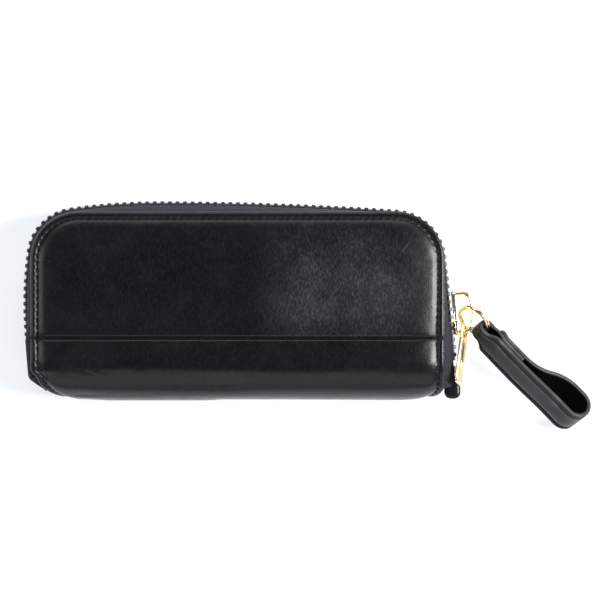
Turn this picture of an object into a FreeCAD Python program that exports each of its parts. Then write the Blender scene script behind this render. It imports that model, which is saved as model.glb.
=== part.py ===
# Zip-round key case lying on its back: two padded leather covers joined by a round spine,
# a toothed zipper on the three free sides, its slider with a pull and a strap, and a bar of key hooks.
# +X runs along the case, +Y from the spine to the opening edge, +Z out of the front cover.
import FreeCAD, Part
import math
import os
from types import SimpleNamespace
from FreeCAD import Placement, Rotation, Vector
from Sketcher import Constraint

doc = FreeCAD.newDocument("KeyCase")
sheet = doc.addObject("Spreadsheet::Sheet", "Sizes")

# Driving dimensions in millimetres, angles in degrees
SIZES = [
    ("case_length", 128.4, "cover, edge to edge along X"),
    ("case_height", 58.4, "cover, spine to opening edge along Y"),
    ("case_depth", 25.0, "over both padded covers"),
    ("corner_radius", 15.0, "corners at the opening edge"),
    ("spine_corner_left", 9.0, "rounding of the spine's left end"),
    ("spine_corner_right", 3.0, "rounding of the spine's right end"),
    ("seam_height", 19.2, "cover seam above the spine"),
    ("seam_gap", 0.3, "open joint along a cover seam"),
    ("leather", 1.2, "thickness of the outer leather"),
    ("padding_rise", 1.0, "how far a padded field stands above its border"),
    ("border_width", 4.0, "flat sewn border round a padded field"),
    ("seam_border", 0.9, "flat border beside a seam"),
    ("field_bevel", 0.8, "bevel of a padded field's shoulder"),
    ("board_clearance", 0.1, "play of a board in its recess"),
    ("lining", 0.5, "thickness of the lining"),
    ("lining_inset", 1.6, "lining's edge inside the cover's edge"),
    ("tape", 0.6, "thickness of the zipper tape"),
    ("tape_inset", 0.6, "tape's fold inside the cover's edge"),
    ("tape_margin", 4.0, "width of the tape sewn under the border"),
    ("tape_stand", 2.65, "tape's edge from the middle plane"),
    ("tape_upright", 1.6, "straight run of tape that the teeth grip"),
    ("chain_rise", 1.9, "chain beyond the opening edge at its fullest"),
    ("chain_apex", 25.0, "fullest place of the chain, left of the middle"),
    ("chain_right_inset", 14.7, "gentle arc stops short of the right edge"),
    ("chain_right_arc", 1080.0, "radius of that arc"),
    ("chain_right_corner", 15.3, "radius of the chain at the right corner"),
    ("chain_splay", 5.7, "outward lean of the chain on the right side"),
    ("chain_side_drop", 18.9, "straight chain on the right side, less than the case's height"),
    ("chain_left_inset", 12.2, "arc stops short of the left edge"),
    ("chain_left_arc", 185.0, "radius of that arc"),
    ("chain_left_corner", 14.5, "radius of the chain at the left corner"),
    ("chain_left_bulge", 120.0, "radius of the chain on the left side"),
    ("chain_left_lean", 7.6, "outward lean where the left side begins"),
    ("chain_left_drop", 20.4, "chain on the left side, less than the case's height"),
    ("tooth_pitch", 2.35, "spacing of teeth on one tape"),
    ("tooth_width", 1.3, "tooth along the chain"),
    ("tooth_length", 3.4, "tooth from head to legs"),
    ("tooth_depth", 2.2, "tooth through the chain"),
    ("tooth_head", 1.3, "thickness of a tooth's head"),
    ("tooth_slot", 1.5, "depth of the slot that grips the tape"),
    ("tooth_grip", 0.05, "play of the tape in that slot"),
    ("closed_gap", 0.16, "between meeting heads of a closed chain"),
    ("open_gap", 1.4, "between heads where the slider runs"),
    ("open_run", 28.0, "chain held apart, from its right end"),
    ("close_run", 7.0, "chain that comes together above it"),
    ("stop_length", 2.4, "end stop along the chain"),
    ("stop_place", 4.6, "end stop from the chain's right end"),
    ("end_tab_length", 4.4, "leather tab past the chain's right end"),
    ("end_tab_width", 2.8, "tab across the chain"),
    ("end_tab_depth", 8.0, "tab through the case"),
    ("end_tab_round", 1.1, "rounding of the tab"),
    ("slider_place", 22.2, "middle of the slider from the chain's right end"),
    ("slider_length", 14.0, "slider along the chain"),
    ("slider_width", 9.2, "slider at its wide end"),
    ("slider_waist", 7.6, "slider at its narrow end"),
    ("slider_plate", 0.9, "thickness of a slider plate"),
    ("slider_flange", 0.2, "depth of a slider flange"),
    ("slider_flange_width", 0.7, "width of a slider flange"),
    ("slider_play", 0.65, "between a flange and the teeth"),
    ("wedge_length", 4.4, "wedge that parts the rows"),
    ("wedge_thickness", 1.0, "that wedge, between the rows"),
    ("bridge_length", 13.0, "bridge along the slider"),
    ("bridge_hole", 4.2, "clear height under the bridge"),
    ("bridge_bar", 1.2, "thickness of the bridge"),
    ("bridge_width", 1.5, "width of the bridge"),
    ("bridge_crown", 1.2, "rise of the bridge's arch"),
    ("pull_length", 20.4, "pull, end to end"),
    ("pull_width", 5.0, "width of the pull"),
    ("pull_thickness", 1.1, "thickness of the pull"),
    ("pull_slot", 3.0, "width of the pull's slot"),
    ("pull_slot_length", 11.5, "length of the pull's slot"),
    ("pull_rim", 1.0, "rim at the top of the pull"),
    ("pull_seat", 2.2, "middle of the pull's rim above the slider's outer plate"),
    ("pull_lean", 13.0, "lean of the pull towards the case"),
    ("pull_lift", 24.0, "lift of the pull towards the front"),
    ("pull_roll", 14.0, "turn of the pull's face towards the front"),
    ("ring_radius", 5.0, "jump ring, to the middle of its wire"),
    ("ring_wire", 1.4, "wire of the jump ring"),
    ("ring_seat", 1.0, "ring on the bridge, above its middle"),
    ("ring_bed", 2.0, "middle of the ring's wire above the slider's outer plate"),
    ("strap_heading", 46.0, "strap's direction, turned from +X towards -Y"),
    ("strap_dip", 3.8, "fall of the strap towards the table"),
    ("strap_tilt", 52.8, "turn of the strap's width up from the table"),
    ("strap_width", 10.6, "width of the strap"),
    ("strap_leather", 1.3, "thickness of the strap"),
    ("strap_length", 41.4, "strap from the ring to the end of its loop"),
    ("strap_eye", 1.35, "radius of the fold round the ring"),
    ("strap_play", 0.7, "ring's wire off the middle of the fold"),
    ("strap_tongue", 4.8, "strap's width inside the ring"),
    ("strap_shoulder", 3.6, "taper from the tongue to the full width"),
    ("strap_sewn", 15.0, "length sewn together beside the ring"),
    ("strap_ply_gap", 0.12, "between the sewn layers"),
    ("strap_bow", 8.7, "loop's full height between its layers"),
    ("strap_lift", -0.6, "rise of the upper layer from the sewn part to the loop"),
    ("strap_spread", 19.0, "length over which the loop opens"),
    ("bar_inset", 14.2, "hook bar's hinge line from the left edge"),
    ("bar_shift", 2.6, "middle of the hook bar below the middle of the cover"),
    ("bar_margin", 7.2, "hook bar, shorter than the cover"),
    ("bar_width", 8.0, "plate of the hook bar"),
    ("bar_plate", 0.8, "thickness of that plate"),
    ("barrel_radius", 2.0, "rolled barrel of the hook bar"),
    ("pin_radius", 0.85, "pin through the barrel"),
    ("pin_play", 0.1, "play round the pin"),
    ("slot_width", 2.8, "slot in the barrel for a hook"),
    ("slot_play", 0.35, "that slot, past the barrel on both sides"),
    ("hook_past", 0.8, "outer loops past the ends of the bar"),
    ("hook_length", 27.0, "hook, from its pin to its tip"),
    ("hook_apart", 0.8, "between the loops of two hooks"),
    ("hook_limb", 1.6, "width of a hook's limb"),
    ("hook_thickness", 1.7, "thickness of a hook"),
    ("hook_shank", 2.2, "width of a hook's shank"),
    ("hook_neck", 6.2, "shank, from the pin"),
    ("hook_base", 1.6, "base of the loop along the hook"),
    ("hook_nose", 3.2, "free limb left at the hook's tip"),
    ("eye_radius", 1.9, "eye of a hook"),
    ("eye_width", 2.2, "eye of a hook along the pin"),
    ("gate_root", 0.5, "radius of the gate's root"),
    ("gate_tip", 0.4, "half the gate's width at its tip"),
    ("gate_play", 0.12, "play round the gate"),
    ("rivet_inset", 5.0, "rivet from the end of the bar"),
    ("rivet_shank", 1.1, "radius of a rivet"),
    ("rivet_head", 2.1, "radius of a rivet's head"),
    ("rivet_crown", 0.9, "height of a rivet's head"),
    ("rivet_play", 0.1, "play round a rivet"),
]
HOOKS = 4


class Dim:
    """A length that keeps both its number and the sheet formula that it comes from."""

    def __init__(self, value, text):
        self.value = value
        self.text = text

    def join(self, other, sign, value):
        return Dim(value, f"({self.text} {sign} {as_dim(other).text})")

    def __add__(self, other):
        return self.join(other, "+", self.value + as_dim(other).value)

    def __sub__(self, other):
        return self.join(other, "-", self.value - as_dim(other).value)

    def __mul__(self, other):
        return self.join(other, "*", self.value * as_dim(other).value)

    def __truediv__(self, other):
        return self.join(other, "/", self.value / as_dim(other).value)

    def __radd__(self, other):
        return as_dim(other) + self

    def __rsub__(self, other):
        return as_dim(other) - self

    def __rmul__(self, other):
        return as_dim(other) * self

    def __neg__(self):
        return self * -1


def as_dim(number):
    return number if isinstance(number, Dim) else Dim(float(number), repr(float(number)))


for row, (alias, number, meaning) in enumerate(SIZES, start=1):
    sheet.set(f"A{row}", meaning)
    sheet.set(f"B{row}", str(number))
    sheet.setAlias(f"B{row}", alias)
sheet.recompute()
size = SimpleNamespace(**{alias: Dim(float(sheet.get(alias)), f"Sizes.{alias}") for alias, _, _ in SIZES})
subparts = []

# Planes and lines that the pieces share
half_length = size.case_length / 2
top_edge = size.case_height / 2
spine_edge = -top_edge
seam_line = spine_edge + size.seam_height
above_seam = seam_line + size.seam_gap / 2
below_seam = seam_line - size.seam_gap / 2
spine_radius = size.case_depth / 2
spine_axis = spine_edge + spine_radius
middle = size.case_depth / 2
border_face = size.case_depth - size.padding_rise
leather_inside = border_face - size.leather
tape_inside = leather_inside - size.tape
cavity = tape_inside - size.lining
board_inset = size.border_width + size.leather + size.board_clearance
board_depth = size.padding_rise + size.tape
floor_level = size.case_depth - cavity
pin_level = floor_level + size.barrel_radius
bar_line = size.bar_inset - half_length
bar_length = top_edge - seam_line - size.bar_margin
bar_centre = (top_edge + seam_line) / 2 - size.bar_shift
hook_pitch = (bar_length + size.hook_past * 2 + size.hook_apart) / HOOKS


def bind(thing, path, length):
    thing.setExpression(path, as_dim(length).text)


def new_body(name):
    body = doc.addObject("PartDesign::Body", name)
    body.Label = name
    subparts.append(body)
    return body


def new_shape(name, shape):
    piece = doc.addObject("Part::Feature", name)
    piece.Label = name
    piece.Shape = shape
    subparts.append(piece)
    return piece


def new_sketch(body, role, height=None):
    """A sketch on one of the body's own origin planes, moved along that plane's normal."""
    plane = next(item for item in body.Origin.OriginFeatures if item.Role == role)
    sketch = body.newObject("Sketcher::SketchObject", "Sketch")
    sketch.AttachmentSupport = [(plane, "")]
    sketch.MapMode = "FlatFace"
    if height is not None:
        bind(sketch, "AttachmentOffset.Base.z", height)
    return sketch


def place_point(sketch, axis, item, spot, length):
    """Holds one point of the sketch at a signed distance from the sketch's origin."""
    length = as_dim(length)
    if abs(length.value) < 1e-9:
        line = -2 if axis == "DistanceX" else -1
        sketch.addConstraint(Constraint("PointOnObject", item, spot, line))
        return
    if length.value > 0:
        index = sketch.addConstraint(Constraint(axis, -1, 1, item, spot, length.value))
        sketch.setExpression(f"Constraints[{index}]", length.text)
        return
    index = sketch.addConstraint(Constraint(axis, item, spot, -1, 1, -length.value))
    sketch.setExpression(f"Constraints[{index}]", (-length).text)


def arc_between(start, end, centre, turn):
    circle = Part.Circle(centre, Vector(0, 0, 1), start.distanceToPoint(centre))
    first, last = (start, end) if turn > 0 else (end, start)
    angles = [math.atan2(point.y - centre.y, point.x - centre.x) for point in (first, last)]
    if angles[1] <= angles[0]:
        angles[1] += 2 * math.pi
    return Part.ArcOfCircle(circle, *angles)


def draw(sketch, points):
    """A closed outline. A point is (x, y), or (x, y, centre x, centre y, turn) where an arc leaves it."""
    first = sketch.GeometryCount
    count = len(points)
    for index, point in enumerate(points):
        after = points[(index + 1) % count]
        start = Vector(as_dim(point[0]).value, as_dim(point[1]).value)
        end = Vector(as_dim(after[0]).value, as_dim(after[1]).value)
        if len(point) == 2:
            sketch.addGeometry(Part.LineSegment(start, end))
        else:
            centre = Vector(as_dim(point[2]).value, as_dim(point[3]).value)
            sketch.addGeometry(arc_between(start, end, centre, point[4]))
    for index, point in enumerate(points):
        item = first + index
        backward = len(point) > 2 and point[4] < 0
        begin, finish = (2, 1) if backward else (1, 2)
        after = points[(index + 1) % count]
        next_begin = 2 if len(after) > 2 and after[4] < 0 else 1
        follower = first + (index + 1) % count
        sketch.addConstraint(Constraint("Coincident", item, finish, follower, next_begin))
        place_point(sketch, "DistanceX", item, begin, point[0])
        place_point(sketch, "DistanceY", item, begin, point[1])
        if len(point) > 2:
            rise = abs(as_dim(after[1]).value - as_dim(point[1]).value)
            run = abs(as_dim(after[0]).value - as_dim(point[0]).value)
            if rise >= run:
                place_point(sketch, "DistanceX", item, 3, point[2])
            else:
                place_point(sketch, "DistanceY", item, 3, point[3])


def draw_circle(sketch, across, along, radius):
    centre = Vector(as_dim(across).value, as_dim(along).value)
    item = sketch.addGeometry(Part.Circle(centre, Vector(0, 0, 1), radius.value))
    place_point(sketch, "DistanceX", item, 3, across)
    place_point(sketch, "DistanceY", item, 3, along)
    index = sketch.addConstraint(Constraint("Radius", item, radius.value))
    sketch.setExpression(f"Constraints[{index}]", radius.text)


def corners_round(across, along, radius, sides):
    """Corners of a regular outline on a circle, with two of its sides upright."""
    turns = [2 * math.pi * (index + 0.5) / sides for index in range(sides)]
    return [(across + radius * math.cos(turn), along + radius * math.sin(turn)) for turn in turns]


def rectangle(left, right, low, high):
    return [(left, low), (right, low), (right, high), (left, high)]


def extrude(body, kind, sketch, length, way="forward"):
    """A Pad or Pocket: forward, backward, or half each way from its sketch."""
    feature = body.newObject(f"PartDesign::{kind}", kind)
    feature.Profile = sketch
    bind(feature, "Length", length)
    if way == "both":
        feature.SideType = "Symmetric"
    feature.Reversed = way == "backward"
    return feature


def cut_through(body, sketch):
    """A Pocket right through the body, both ways from its sketch."""
    pocket = body.newObject("PartDesign::Pocket", "Pocket")
    pocket.Profile = sketch
    pocket.SideType = "Symmetric"
    pocket.Type = "ThroughAll"
    return pocket


def bevel_edges(body, width, wanted):
    """Bevels those edges of the body's last feature that the test picks."""
    doc.recompute()
    base = body.Tip
    edges = enumerate(base.Shape.Edges, start=1)
    names = [f"Edge{index}" for index, edge in edges if wanted(edge.BoundBox)]
    bevel = body.newObject("PartDesign::Chamfer", "Chamfer")
    bevel.Base = (base, names)
    bind(bevel, "Size", width)
    return bevel


def near(one, other):
    return abs(one - other) < 1e-4


# Leather covers, boards and linings

def cover_outline(inset, seam_inset):
    """A cover's outline, drawn in from its three free edges and from its seam."""
    side = half_length - inset
    top = top_edge - inset
    low = above_seam + seam_inset
    bend = size.corner_radius - inset
    return [
        (-side, low),
        (side, low),
        (side, top - bend, side - bend, top - bend, 1),
        (side - bend, top),
        (bend - side, top, bend - side, top - bend, 1),
        (-side, top - bend),
    ]


def level(front, height):
    """A height of the front cover, or its mirror image on the back cover."""
    return height if front else size.case_depth - height


def cover_panel(name, front):
    """Leather with a flat sewn border and a padded field, hollow behind for its board."""
    outward, inward = ("forward", "backward") if front else ("backward", "forward")
    body = new_body(name)
    border = new_sketch(body, "XY_Plane", level(front, leather_inside))
    draw(border, cover_outline(as_dim(0), as_dim(0)))
    extrude(body, "Pad", border, size.leather, outward)
    field = new_sketch(body, "XY_Plane", level(front, border_face))
    draw(field, cover_outline(size.border_width, size.seam_border))
    extrude(body, "Pad", field, size.padding_rise, outward)
    face = level(front, size.case_depth).value
    bevel_edges(body, size.field_bevel, lambda box: near(box.ZMin, face) and near(box.ZMax, face))
    recess = new_sketch(body, "XY_Plane", level(front, leather_inside))
    draw(recess, cover_outline(size.border_width + size.leather, size.seam_border + size.leather))
    extrude(body, "Pocket", recess, size.padding_rise, inward)


def cover_board(name, front):
    """Stiff padded board in a cover's recess."""
    body = new_body(name)
    sketch = new_sketch(body, "XY_Plane", level(front, tape_inside))
    draw(sketch, cover_outline(board_inset, size.seam_border + size.leather + size.board_clearance))
    extrude(body, "Pad", sketch, board_depth, "forward" if front else "backward")
    return body


def spine_profile(outer, wall, front_end, back_end):
    """A wall bent round the spine: the outer radius, the wall and where its two legs end."""
    inner = outer - wall
    return [
        (front_end, middle + outer),
        (spine_axis, middle + outer, spine_axis, middle, 1),
        (spine_axis, middle - outer),
        (back_end, middle - outer),
        (back_end, middle - inner),
        (spine_axis, middle - inner, spine_axis, middle, -1),
        (spine_axis, middle + inner),
        (front_end, middle + inner),
    ]


def round_spine_ends(body):
    """Cuts the rounded corners of the spine's two ends, right through."""
    margin = size.case_depth
    low = spine_edge
    for side, bend in ((-1, size.spine_corner_left), (1, size.spine_corner_right)):
        sketch = new_sketch(body, "XY_Plane")
        edge = half_length * side
        inner = edge - bend * side
        beyond = edge + margin * side
        draw(sketch, [
            (edge, low + bend, inner, low + bend, -side),
            (inner, low),
            (inner, low - margin),
            (beyond, low - margin),
            (beyond, low + bend),
        ])
        cut_through(body, sketch)


def spine_strip():
    """Leather from the front seam round the spine to the back seam, padded like the covers."""
    body = new_body("spine_strip")
    field_end = below_seam - size.seam_border
    recess_end = field_end - size.leather
    field_length = size.case_length - 2 * size.border_width
    inner_radius = spine_radius - size.padding_rise
    border = new_sketch(body, "YZ_Plane")
    draw(border, spine_profile(inner_radius, size.leather, below_seam, below_seam))
    extrude(body, "Pad", border, size.case_length, "both")
    field = new_sketch(body, "YZ_Plane")
    draw(field, spine_profile(spine_radius, size.leather, field_end, field_end))
    extrude(body, "Pad", field, field_length, "both")
    shoulder = field_length.value / 2

    def on_shoulder(box):
        outer = near(box.ZMax, size.case_depth.value) or near(box.ZMin, 0)
        across = near(box.XMin, box.XMax) and near(abs(box.XMin), shoulder)
        straight = near(box.YMin, box.YMax) and near(box.ZMin, box.ZMax)
        along = straight and near(box.YMin, field_end.value)
        return outer and (across or along)

    bevel_edges(body, size.field_bevel, on_shoulder)
    recess = new_sketch(body, "YZ_Plane")
    draw(recess, spine_profile(spine_radius - size.leather, size.padding_rise, recess_end, recess_end))
    extrude(body, "Pocket", recess, field_length - 2 * size.leather, "both")
    round_spine_ends(body)


def spine_board():
    body = new_body("spine_board")
    end = below_seam - size.seam_border - size.leather - size.board_clearance
    sketch = new_sketch(body, "YZ_Plane")
    draw(sketch, spine_profile(spine_radius - size.leather, board_depth, end, end))
    extrude(body, "Pad", sketch, size.case_length - 2 * board_inset, "both")
    round_spine_ends(body)


def rivet_places():
    return [bar_centre + (bar_length / 2 - size.rivet_inset) * side for side in (-1, 1)]


def rivet_column():
    """Where the rivets stand along X: half way over the free part of the bar's plate."""
    return bar_line - size.barrel_radius / 2 - size.bar_width / 2


def bore_rivets(body):
    """Two holes for the rivets of the hook bar, through everything in the body there."""
    sketch = new_sketch(body, "XY_Plane", floor_level)
    for place in rivet_places():
        draw_circle(sketch, rivet_column(), place, size.rivet_shank + size.rivet_play)
    cut_through(body, sketch)


def case_lining():
    """Lining of the back cover and the spine, in one piece up to the front seam."""
    body = new_body("case_lining")
    outer = middle - size.case_depth + tape_inside
    far_edge = top_edge - size.lining_inset
    sketch = new_sketch(body, "YZ_Plane")
    draw(sketch, spine_profile(outer, size.lining, below_seam, far_edge))
    extrude(body, "Pad", sketch, size.case_length - 2 * size.lining_inset, "both")
    bend = size.corner_radius - size.lining_inset
    for side in (-1, 1):
        edge = (half_length - size.lining_inset) * side
        inner = edge - bend * side
        beyond = edge + bend * side
        corner = new_sketch(body, "XY_Plane")
        draw(corner, [
            (edge, far_edge - bend, inner, far_edge - bend, side),
            (inner, far_edge),
            (inner, far_edge + bend),
            (beyond, far_edge + bend),
            (beyond, far_edge - bend),
        ])
        cut_through(body, corner)
    round_spine_ends(body)
    bore_rivets(body)


def front_lining():
    body = new_body("front_lining")
    sketch = new_sketch(body, "XY_Plane", cavity)
    draw(sketch, cover_outline(size.lining_inset, as_dim(0)))
    extrude(body, "Pad", sketch, size.lining)


# Zipper chain: a path of lines and tangent arcs round the three free sides

class Run:
    """One line or arc of a path in plan. A positive radius turns left."""

    def __init__(self, start, angle, length, radius=None):
        self.start = start
        self.angle = angle
        self.length = length
        self.radius = radius

    def heading(self, distance):
        return self.angle if self.radius is None else self.angle + distance / self.radius

    def at(self, distance):
        if self.radius is None:
            return self.start + Vector(math.cos(self.angle), math.sin(self.angle)) * distance
        after = self.heading(distance)
        swing = Vector(math.sin(after) - math.sin(self.angle), math.cos(self.angle) - math.cos(after))
        return self.start + swing * self.radius

    def shifted(self, outward):
        """The same run moved to the right of its own direction."""
        start = self.start + Vector(math.sin(self.angle), -math.cos(self.angle)) * outward
        if self.radius is None:
            return Run(start, self.angle, self.length)
        radius = self.radius + outward
        return Run(start, self.angle, self.length * radius / self.radius, radius)

    def edge(self, height, backward=False):
        lift = Vector(0, 0, height)
        points = [self.at(self.length * part) + lift for part in (0, 0.5, 1)]
        if backward:
            points.reverse()
        if self.radius is None:
            return Part.LineSegment(points[0], points[2]).toShape()
        return Part.Arc(*points).toShape()


def walk(start, angle, moves):
    """Runs laid end to end, each move being a length and a radius."""
    runs = []
    for length, radius in moves:
        run = Run(start, angle, length, radius)
        runs.append(run)
        start = run.at(length)
        angle = run.heading(length)
    return runs


def band(path, outer, inner, height=0.0):
    """The closed outline between two lines parallel to a path."""
    far = [run.shifted(outer) for run in path]
    close = [run.shifted(inner) for run in path]
    lift = Vector(0, 0, height)
    ends = [[run.at(distance) + lift for run, distance in pair] for pair in (
        ((far[-1], far[-1].length), (close[-1], close[-1].length)),
        ((close[0], 0.0), (far[0], 0.0)),
    )]
    edges = [run.edge(height) for run in far]
    edges.append(Part.LineSegment(*ends[0]).toShape())
    edges += [run.edge(height, backward=True) for run in reversed(close)]
    edges.append(Part.LineSegment(*ends[1]).toShape())
    return Part.Wire(edges)


def chain_path():
    """Middle line of the chain, from its right end over the top to its left end."""
    slope = math.radians(size.chain_splay.value)
    lean = math.radians(size.chain_left_lean.value)
    apex = Vector(-size.chain_apex.value, (top_edge + size.chain_rise).value)
    right_run = (half_length + size.chain_apex - size.chain_right_inset).value
    left_run = (half_length - size.chain_apex - size.chain_left_inset).value
    right_turn = right_run / size.chain_right_arc.value
    left_turn = left_run / size.chain_left_arc.value
    right_corner = (math.pi / 2 - slope - right_turn) * size.chain_right_corner.value
    left_corner = (math.pi / 2 - lean - left_turn) * size.chain_left_corner.value
    right = [
        (right_run, -size.chain_right_arc.value),
        (right_corner, -size.chain_right_corner.value),
        ((size.case_height - size.chain_side_drop).value, None),
    ]
    last = walk(apex, 0.0, right)[-1]
    up = [(length, radius and -radius) for length, radius in reversed(right)]
    left = [
        (left_run, size.chain_left_arc.value),
        (left_corner, size.chain_left_corner.value),
        ((size.case_height - size.chain_left_drop).value, size.chain_left_bulge.value),
    ]
    return walk(last.at(last.length), last.angle + math.pi, up + left)


def edge_path():
    """The tape's fold under the covers' edges, in as many runs as the chain."""
    side = (half_length - size.tape_inset).value
    top = (top_edge - size.tape_inset).value
    bend = (size.corner_radius - size.tape_inset).value
    low_right = chain[0].start.y
    low_left = chain[-1].at(chain[-1].length).y
    quarter = math.pi / 2 * bend
    apex = size.chain_apex.value
    moves = [
        (top - bend - low_right, None),
        (quarter, bend),
        (side - bend + apex, None),
        (side - bend - apex, None),
        (quarter, bend),
        (top - bend - low_left, None),
    ]
    return walk(Vector(side, low_right), math.pi / 2, moves)


def along_chain(distance):
    """Place and direction at a distance along the chain from its right end."""
    for run in chain:
        if distance <= run.length:
            break
        distance -= run.length
    return run.at(distance), run.heading(distance)


def mirrored(shape):
    return shape.mirror(Vector(0, 0, middle.value), Vector(0, 0, 1))


def whole_tape():
    """Front tape: sewn margin under the border, then a wall that leans out to the teeth."""
    half = size.tape.value / 2
    grip = (middle + size.tape_stand).value
    bend = grip + size.tape_upright.value
    fold = tape_inside.value
    edge = edge_path()
    sections = [
        band(chain, half, -half, grip),
        band(chain, half, -half, bend),
        band(edge, 0.0, -size.tape.value, fold),
    ]
    wall = Part.makeLoft(sections, True, True)
    sewn = Part.Face(band(edge, 0.0, -size.tape_margin.value, fold))
    whole = wall.fuse(sewn.extrude(Vector(0, 0, size.tape.value)))
    reach = size.case_length.value
    inner = (spine_radius - size.padding_rise - size.leather).value
    round_start = Vector(-reach, spine_axis.value, middle.value)
    round_part = Part.makeCylinder(inner, 2 * reach, round_start, Vector(1, 0, 0))
    flat_part = Part.makeBox(2 * reach, reach, reach, Vector(-reach, spine_axis.value, 0))
    return whole.common(flat_part.fuse(round_part)).removeSplitter()


def half_space(left, low, high):
    """A block on one side of the middle, between two heights along Y."""
    reach = size.case_length.value
    return Part.makeBox(reach, high - low, reach, Vector(-reach if left else 0, low, 0))


def head_gap(distance):
    """Half the gap between the rows: open along the slider's run, closed above it."""
    shut = size.closed_gap.value / 2
    wide = size.open_gap.value / 2
    share = (distance - size.open_run.value) / size.close_run.value
    return wide + (shut - wide) * min(max(share, 0.0), 1.0)


def crimp(distance, width, gap, foot):
    """A tooth or stop of the front row: a head at the gap, and two legs astride the tape."""
    place, heading = along_chain(distance)
    forward = Vector(math.cos(heading), math.sin(heading))
    outward = Vector(math.sin(heading), -math.cos(heading))
    deep = size.tooth_depth.value / 2
    head = size.tooth_head.value / 2
    slot = size.tape.value / 2 + size.tooth_grip.value
    floor = foot - size.tooth_slot.value
    profile = [
        (gap, -head), (gap, head), (foot, deep), (foot, slot),
        (floor, slot), (floor, -slot), (foot, -slot), (foot, -deep), (gap, -head),
    ]
    base = place - forward * (width / 2) + Vector(0, 0, middle.value)
    points = [base + outward * across + Vector(0, 0, rise) for rise, across in profile]
    return Part.Face(Part.makePolygon(points)).extrude(forward * width)


def row_of_teeth(stagger):
    """Places and solids of the teeth of one row, between the stops."""
    first = size.stop_place.value + size.stop_length.value / 2 + size.tooth_pitch.value
    last = sum(run.length for run in chain) - size.stop_length.value - size.tooth_pitch.value
    count = int((last - first) / size.tooth_pitch.value)
    teeth = []
    for index in range(count):
        distance = first + (index + stagger) * size.tooth_pitch.value
        gap = head_gap(distance)
        tooth = crimp(distance, size.tooth_width.value, gap, gap + size.tooth_length.value)
        teeth.append((along_chain(distance)[0], tooth))
    return teeth


def zipper():
    """Both tapes and rows. The front ones part at the cover's seam, where the cover turns."""
    tape = whole_tape()
    new_shape("back_tape", mirrored(tape))
    far = size.case_length.value
    new_shape("front_tape", tape.common(Part.makeBox(2 * far, far, far, Vector(-far, above_seam.value, 0))))
    new_shape("front_tape_left_end", tape.common(half_space(True, -far, below_seam.value)))
    new_shape("front_tape_right_end", tape.common(half_space(False, -far, below_seam.value)))
    front = row_of_teeth(0.5)
    seam = seam_line.value
    new_shape("front_teeth", Part.makeCompound([tooth for place, tooth in front if place.y > seam]))
    left = [tooth for place, tooth in front if place.y <= seam and place.x < 0]
    right = [tooth for place, tooth in front if place.y <= seam and place.x > 0]
    new_shape("front_teeth_left_end", Part.makeCompound(left))
    new_shape("front_teeth_right_end", Part.makeCompound(right))
    new_shape("back_teeth", mirrored(Part.makeCompound([tooth for _, tooth in row_of_teeth(0.0)])))


def end_stops():
    """A pair of stops at the chain's right end, and one that joins both rows at its left end."""
    wide = size.open_gap.value / 2
    foot = wide + size.tooth_length.value
    stop = crimp(size.stop_place.value, size.stop_length.value, wide, foot)
    new_shape("right_end_stops", Part.makeCompound([stop, mirrored(stop)]))
    whole_run = sum(run.length for run in chain)
    half = crimp(whole_run - size.stop_length.value / 2, size.stop_length.value, 0.0, foot)
    new_shape("left_end_stop", half.fuse(mirrored(half)).removeSplitter())


def chain_frame(distance):
    """Local frame on the chain: X outward, Y along the chain, Z up."""
    place, heading = along_chain(distance)
    turn = Rotation(Vector(0, 0, 1), math.degrees(heading) - 90)
    return Placement(place + Vector(0, 0, middle.value), turn)


def end_tab():
    """Folded leather over the tape ends, with a rounded outer end."""
    body = new_body("zipper_end_tab")
    half = size.end_tab_width / 2
    bend = size.end_tab_round
    low = -size.end_tab_length
    sketch = new_sketch(body, "XY_Plane")
    draw(sketch, [
        (-half, low + bend, bend - half, low + bend, 1),
        (bend - half, low),
        (half - bend, low, half - bend, low + bend, 1),
        (half, low + bend),
        (half, 0),
        (-half, 0),
    ])
    extrude(body, "Pad", sketch, size.end_tab_depth, "both")
    body.Placement = chain_frame(0.0)


# Slider, pull, ring and strap

flange_face = size.tooth_depth / 2 + size.slider_play
plate_inside = flange_face + size.slider_flange
plate_outside = plate_inside + size.slider_plate


def slider_outline():
    """Plan of a slider plate: wide at the end where the rows part, narrow where they have met."""
    half = size.slider_length / 2
    wide = size.slider_width / 2
    waist = size.slider_waist / 2
    return [(-half, -wide), (0, -wide), (half, -waist), (half, waist), (0, wide), (-half, wide)]


def slider():
    """Two flanged plates held apart by a wedge, with an arched bridge outside."""
    body = new_body("slider")
    thin = size.wedge_thickness / 2
    low = -size.slider_length / 2
    tip = low + size.wedge_length
    wedge = new_sketch(body, "YZ_Plane")
    draw(wedge, [(low, -thin), (tip - thin, -thin), (tip, 0), (tip - thin, thin), (low, thin)])
    extrude(body, "Pad", wedge, 2 * plate_outside, "both")
    for side, way in ((1, "forward"), (-1, "backward")):
        plate = new_sketch(body, "YZ_Plane", flange_face * side)
        draw(plate, slider_outline())
        extrude(body, "Pad", plate, size.slider_flange + size.slider_plate, way)
    clear = size.slider_width / 2 - size.slider_flange_width
    reach = size.slider_length
    for side, way in ((1, "backward"), (-1, "forward")):
        for low, high in ((-clear, -thin), (thin, clear)):
            channel = new_sketch(body, "YZ_Plane", flange_face * side)
            draw(channel, rectangle(-reach, reach, low, high))
            extrude(body, "Pocket", channel, size.slider_flange, way)
    arch = new_sketch(body, "XY_Plane")
    draw(arch, bridge_outline())
    extrude(body, "Pad", arch, size.bridge_width, "both")
    body.Placement = chain_frame(size.slider_place.value)


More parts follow.
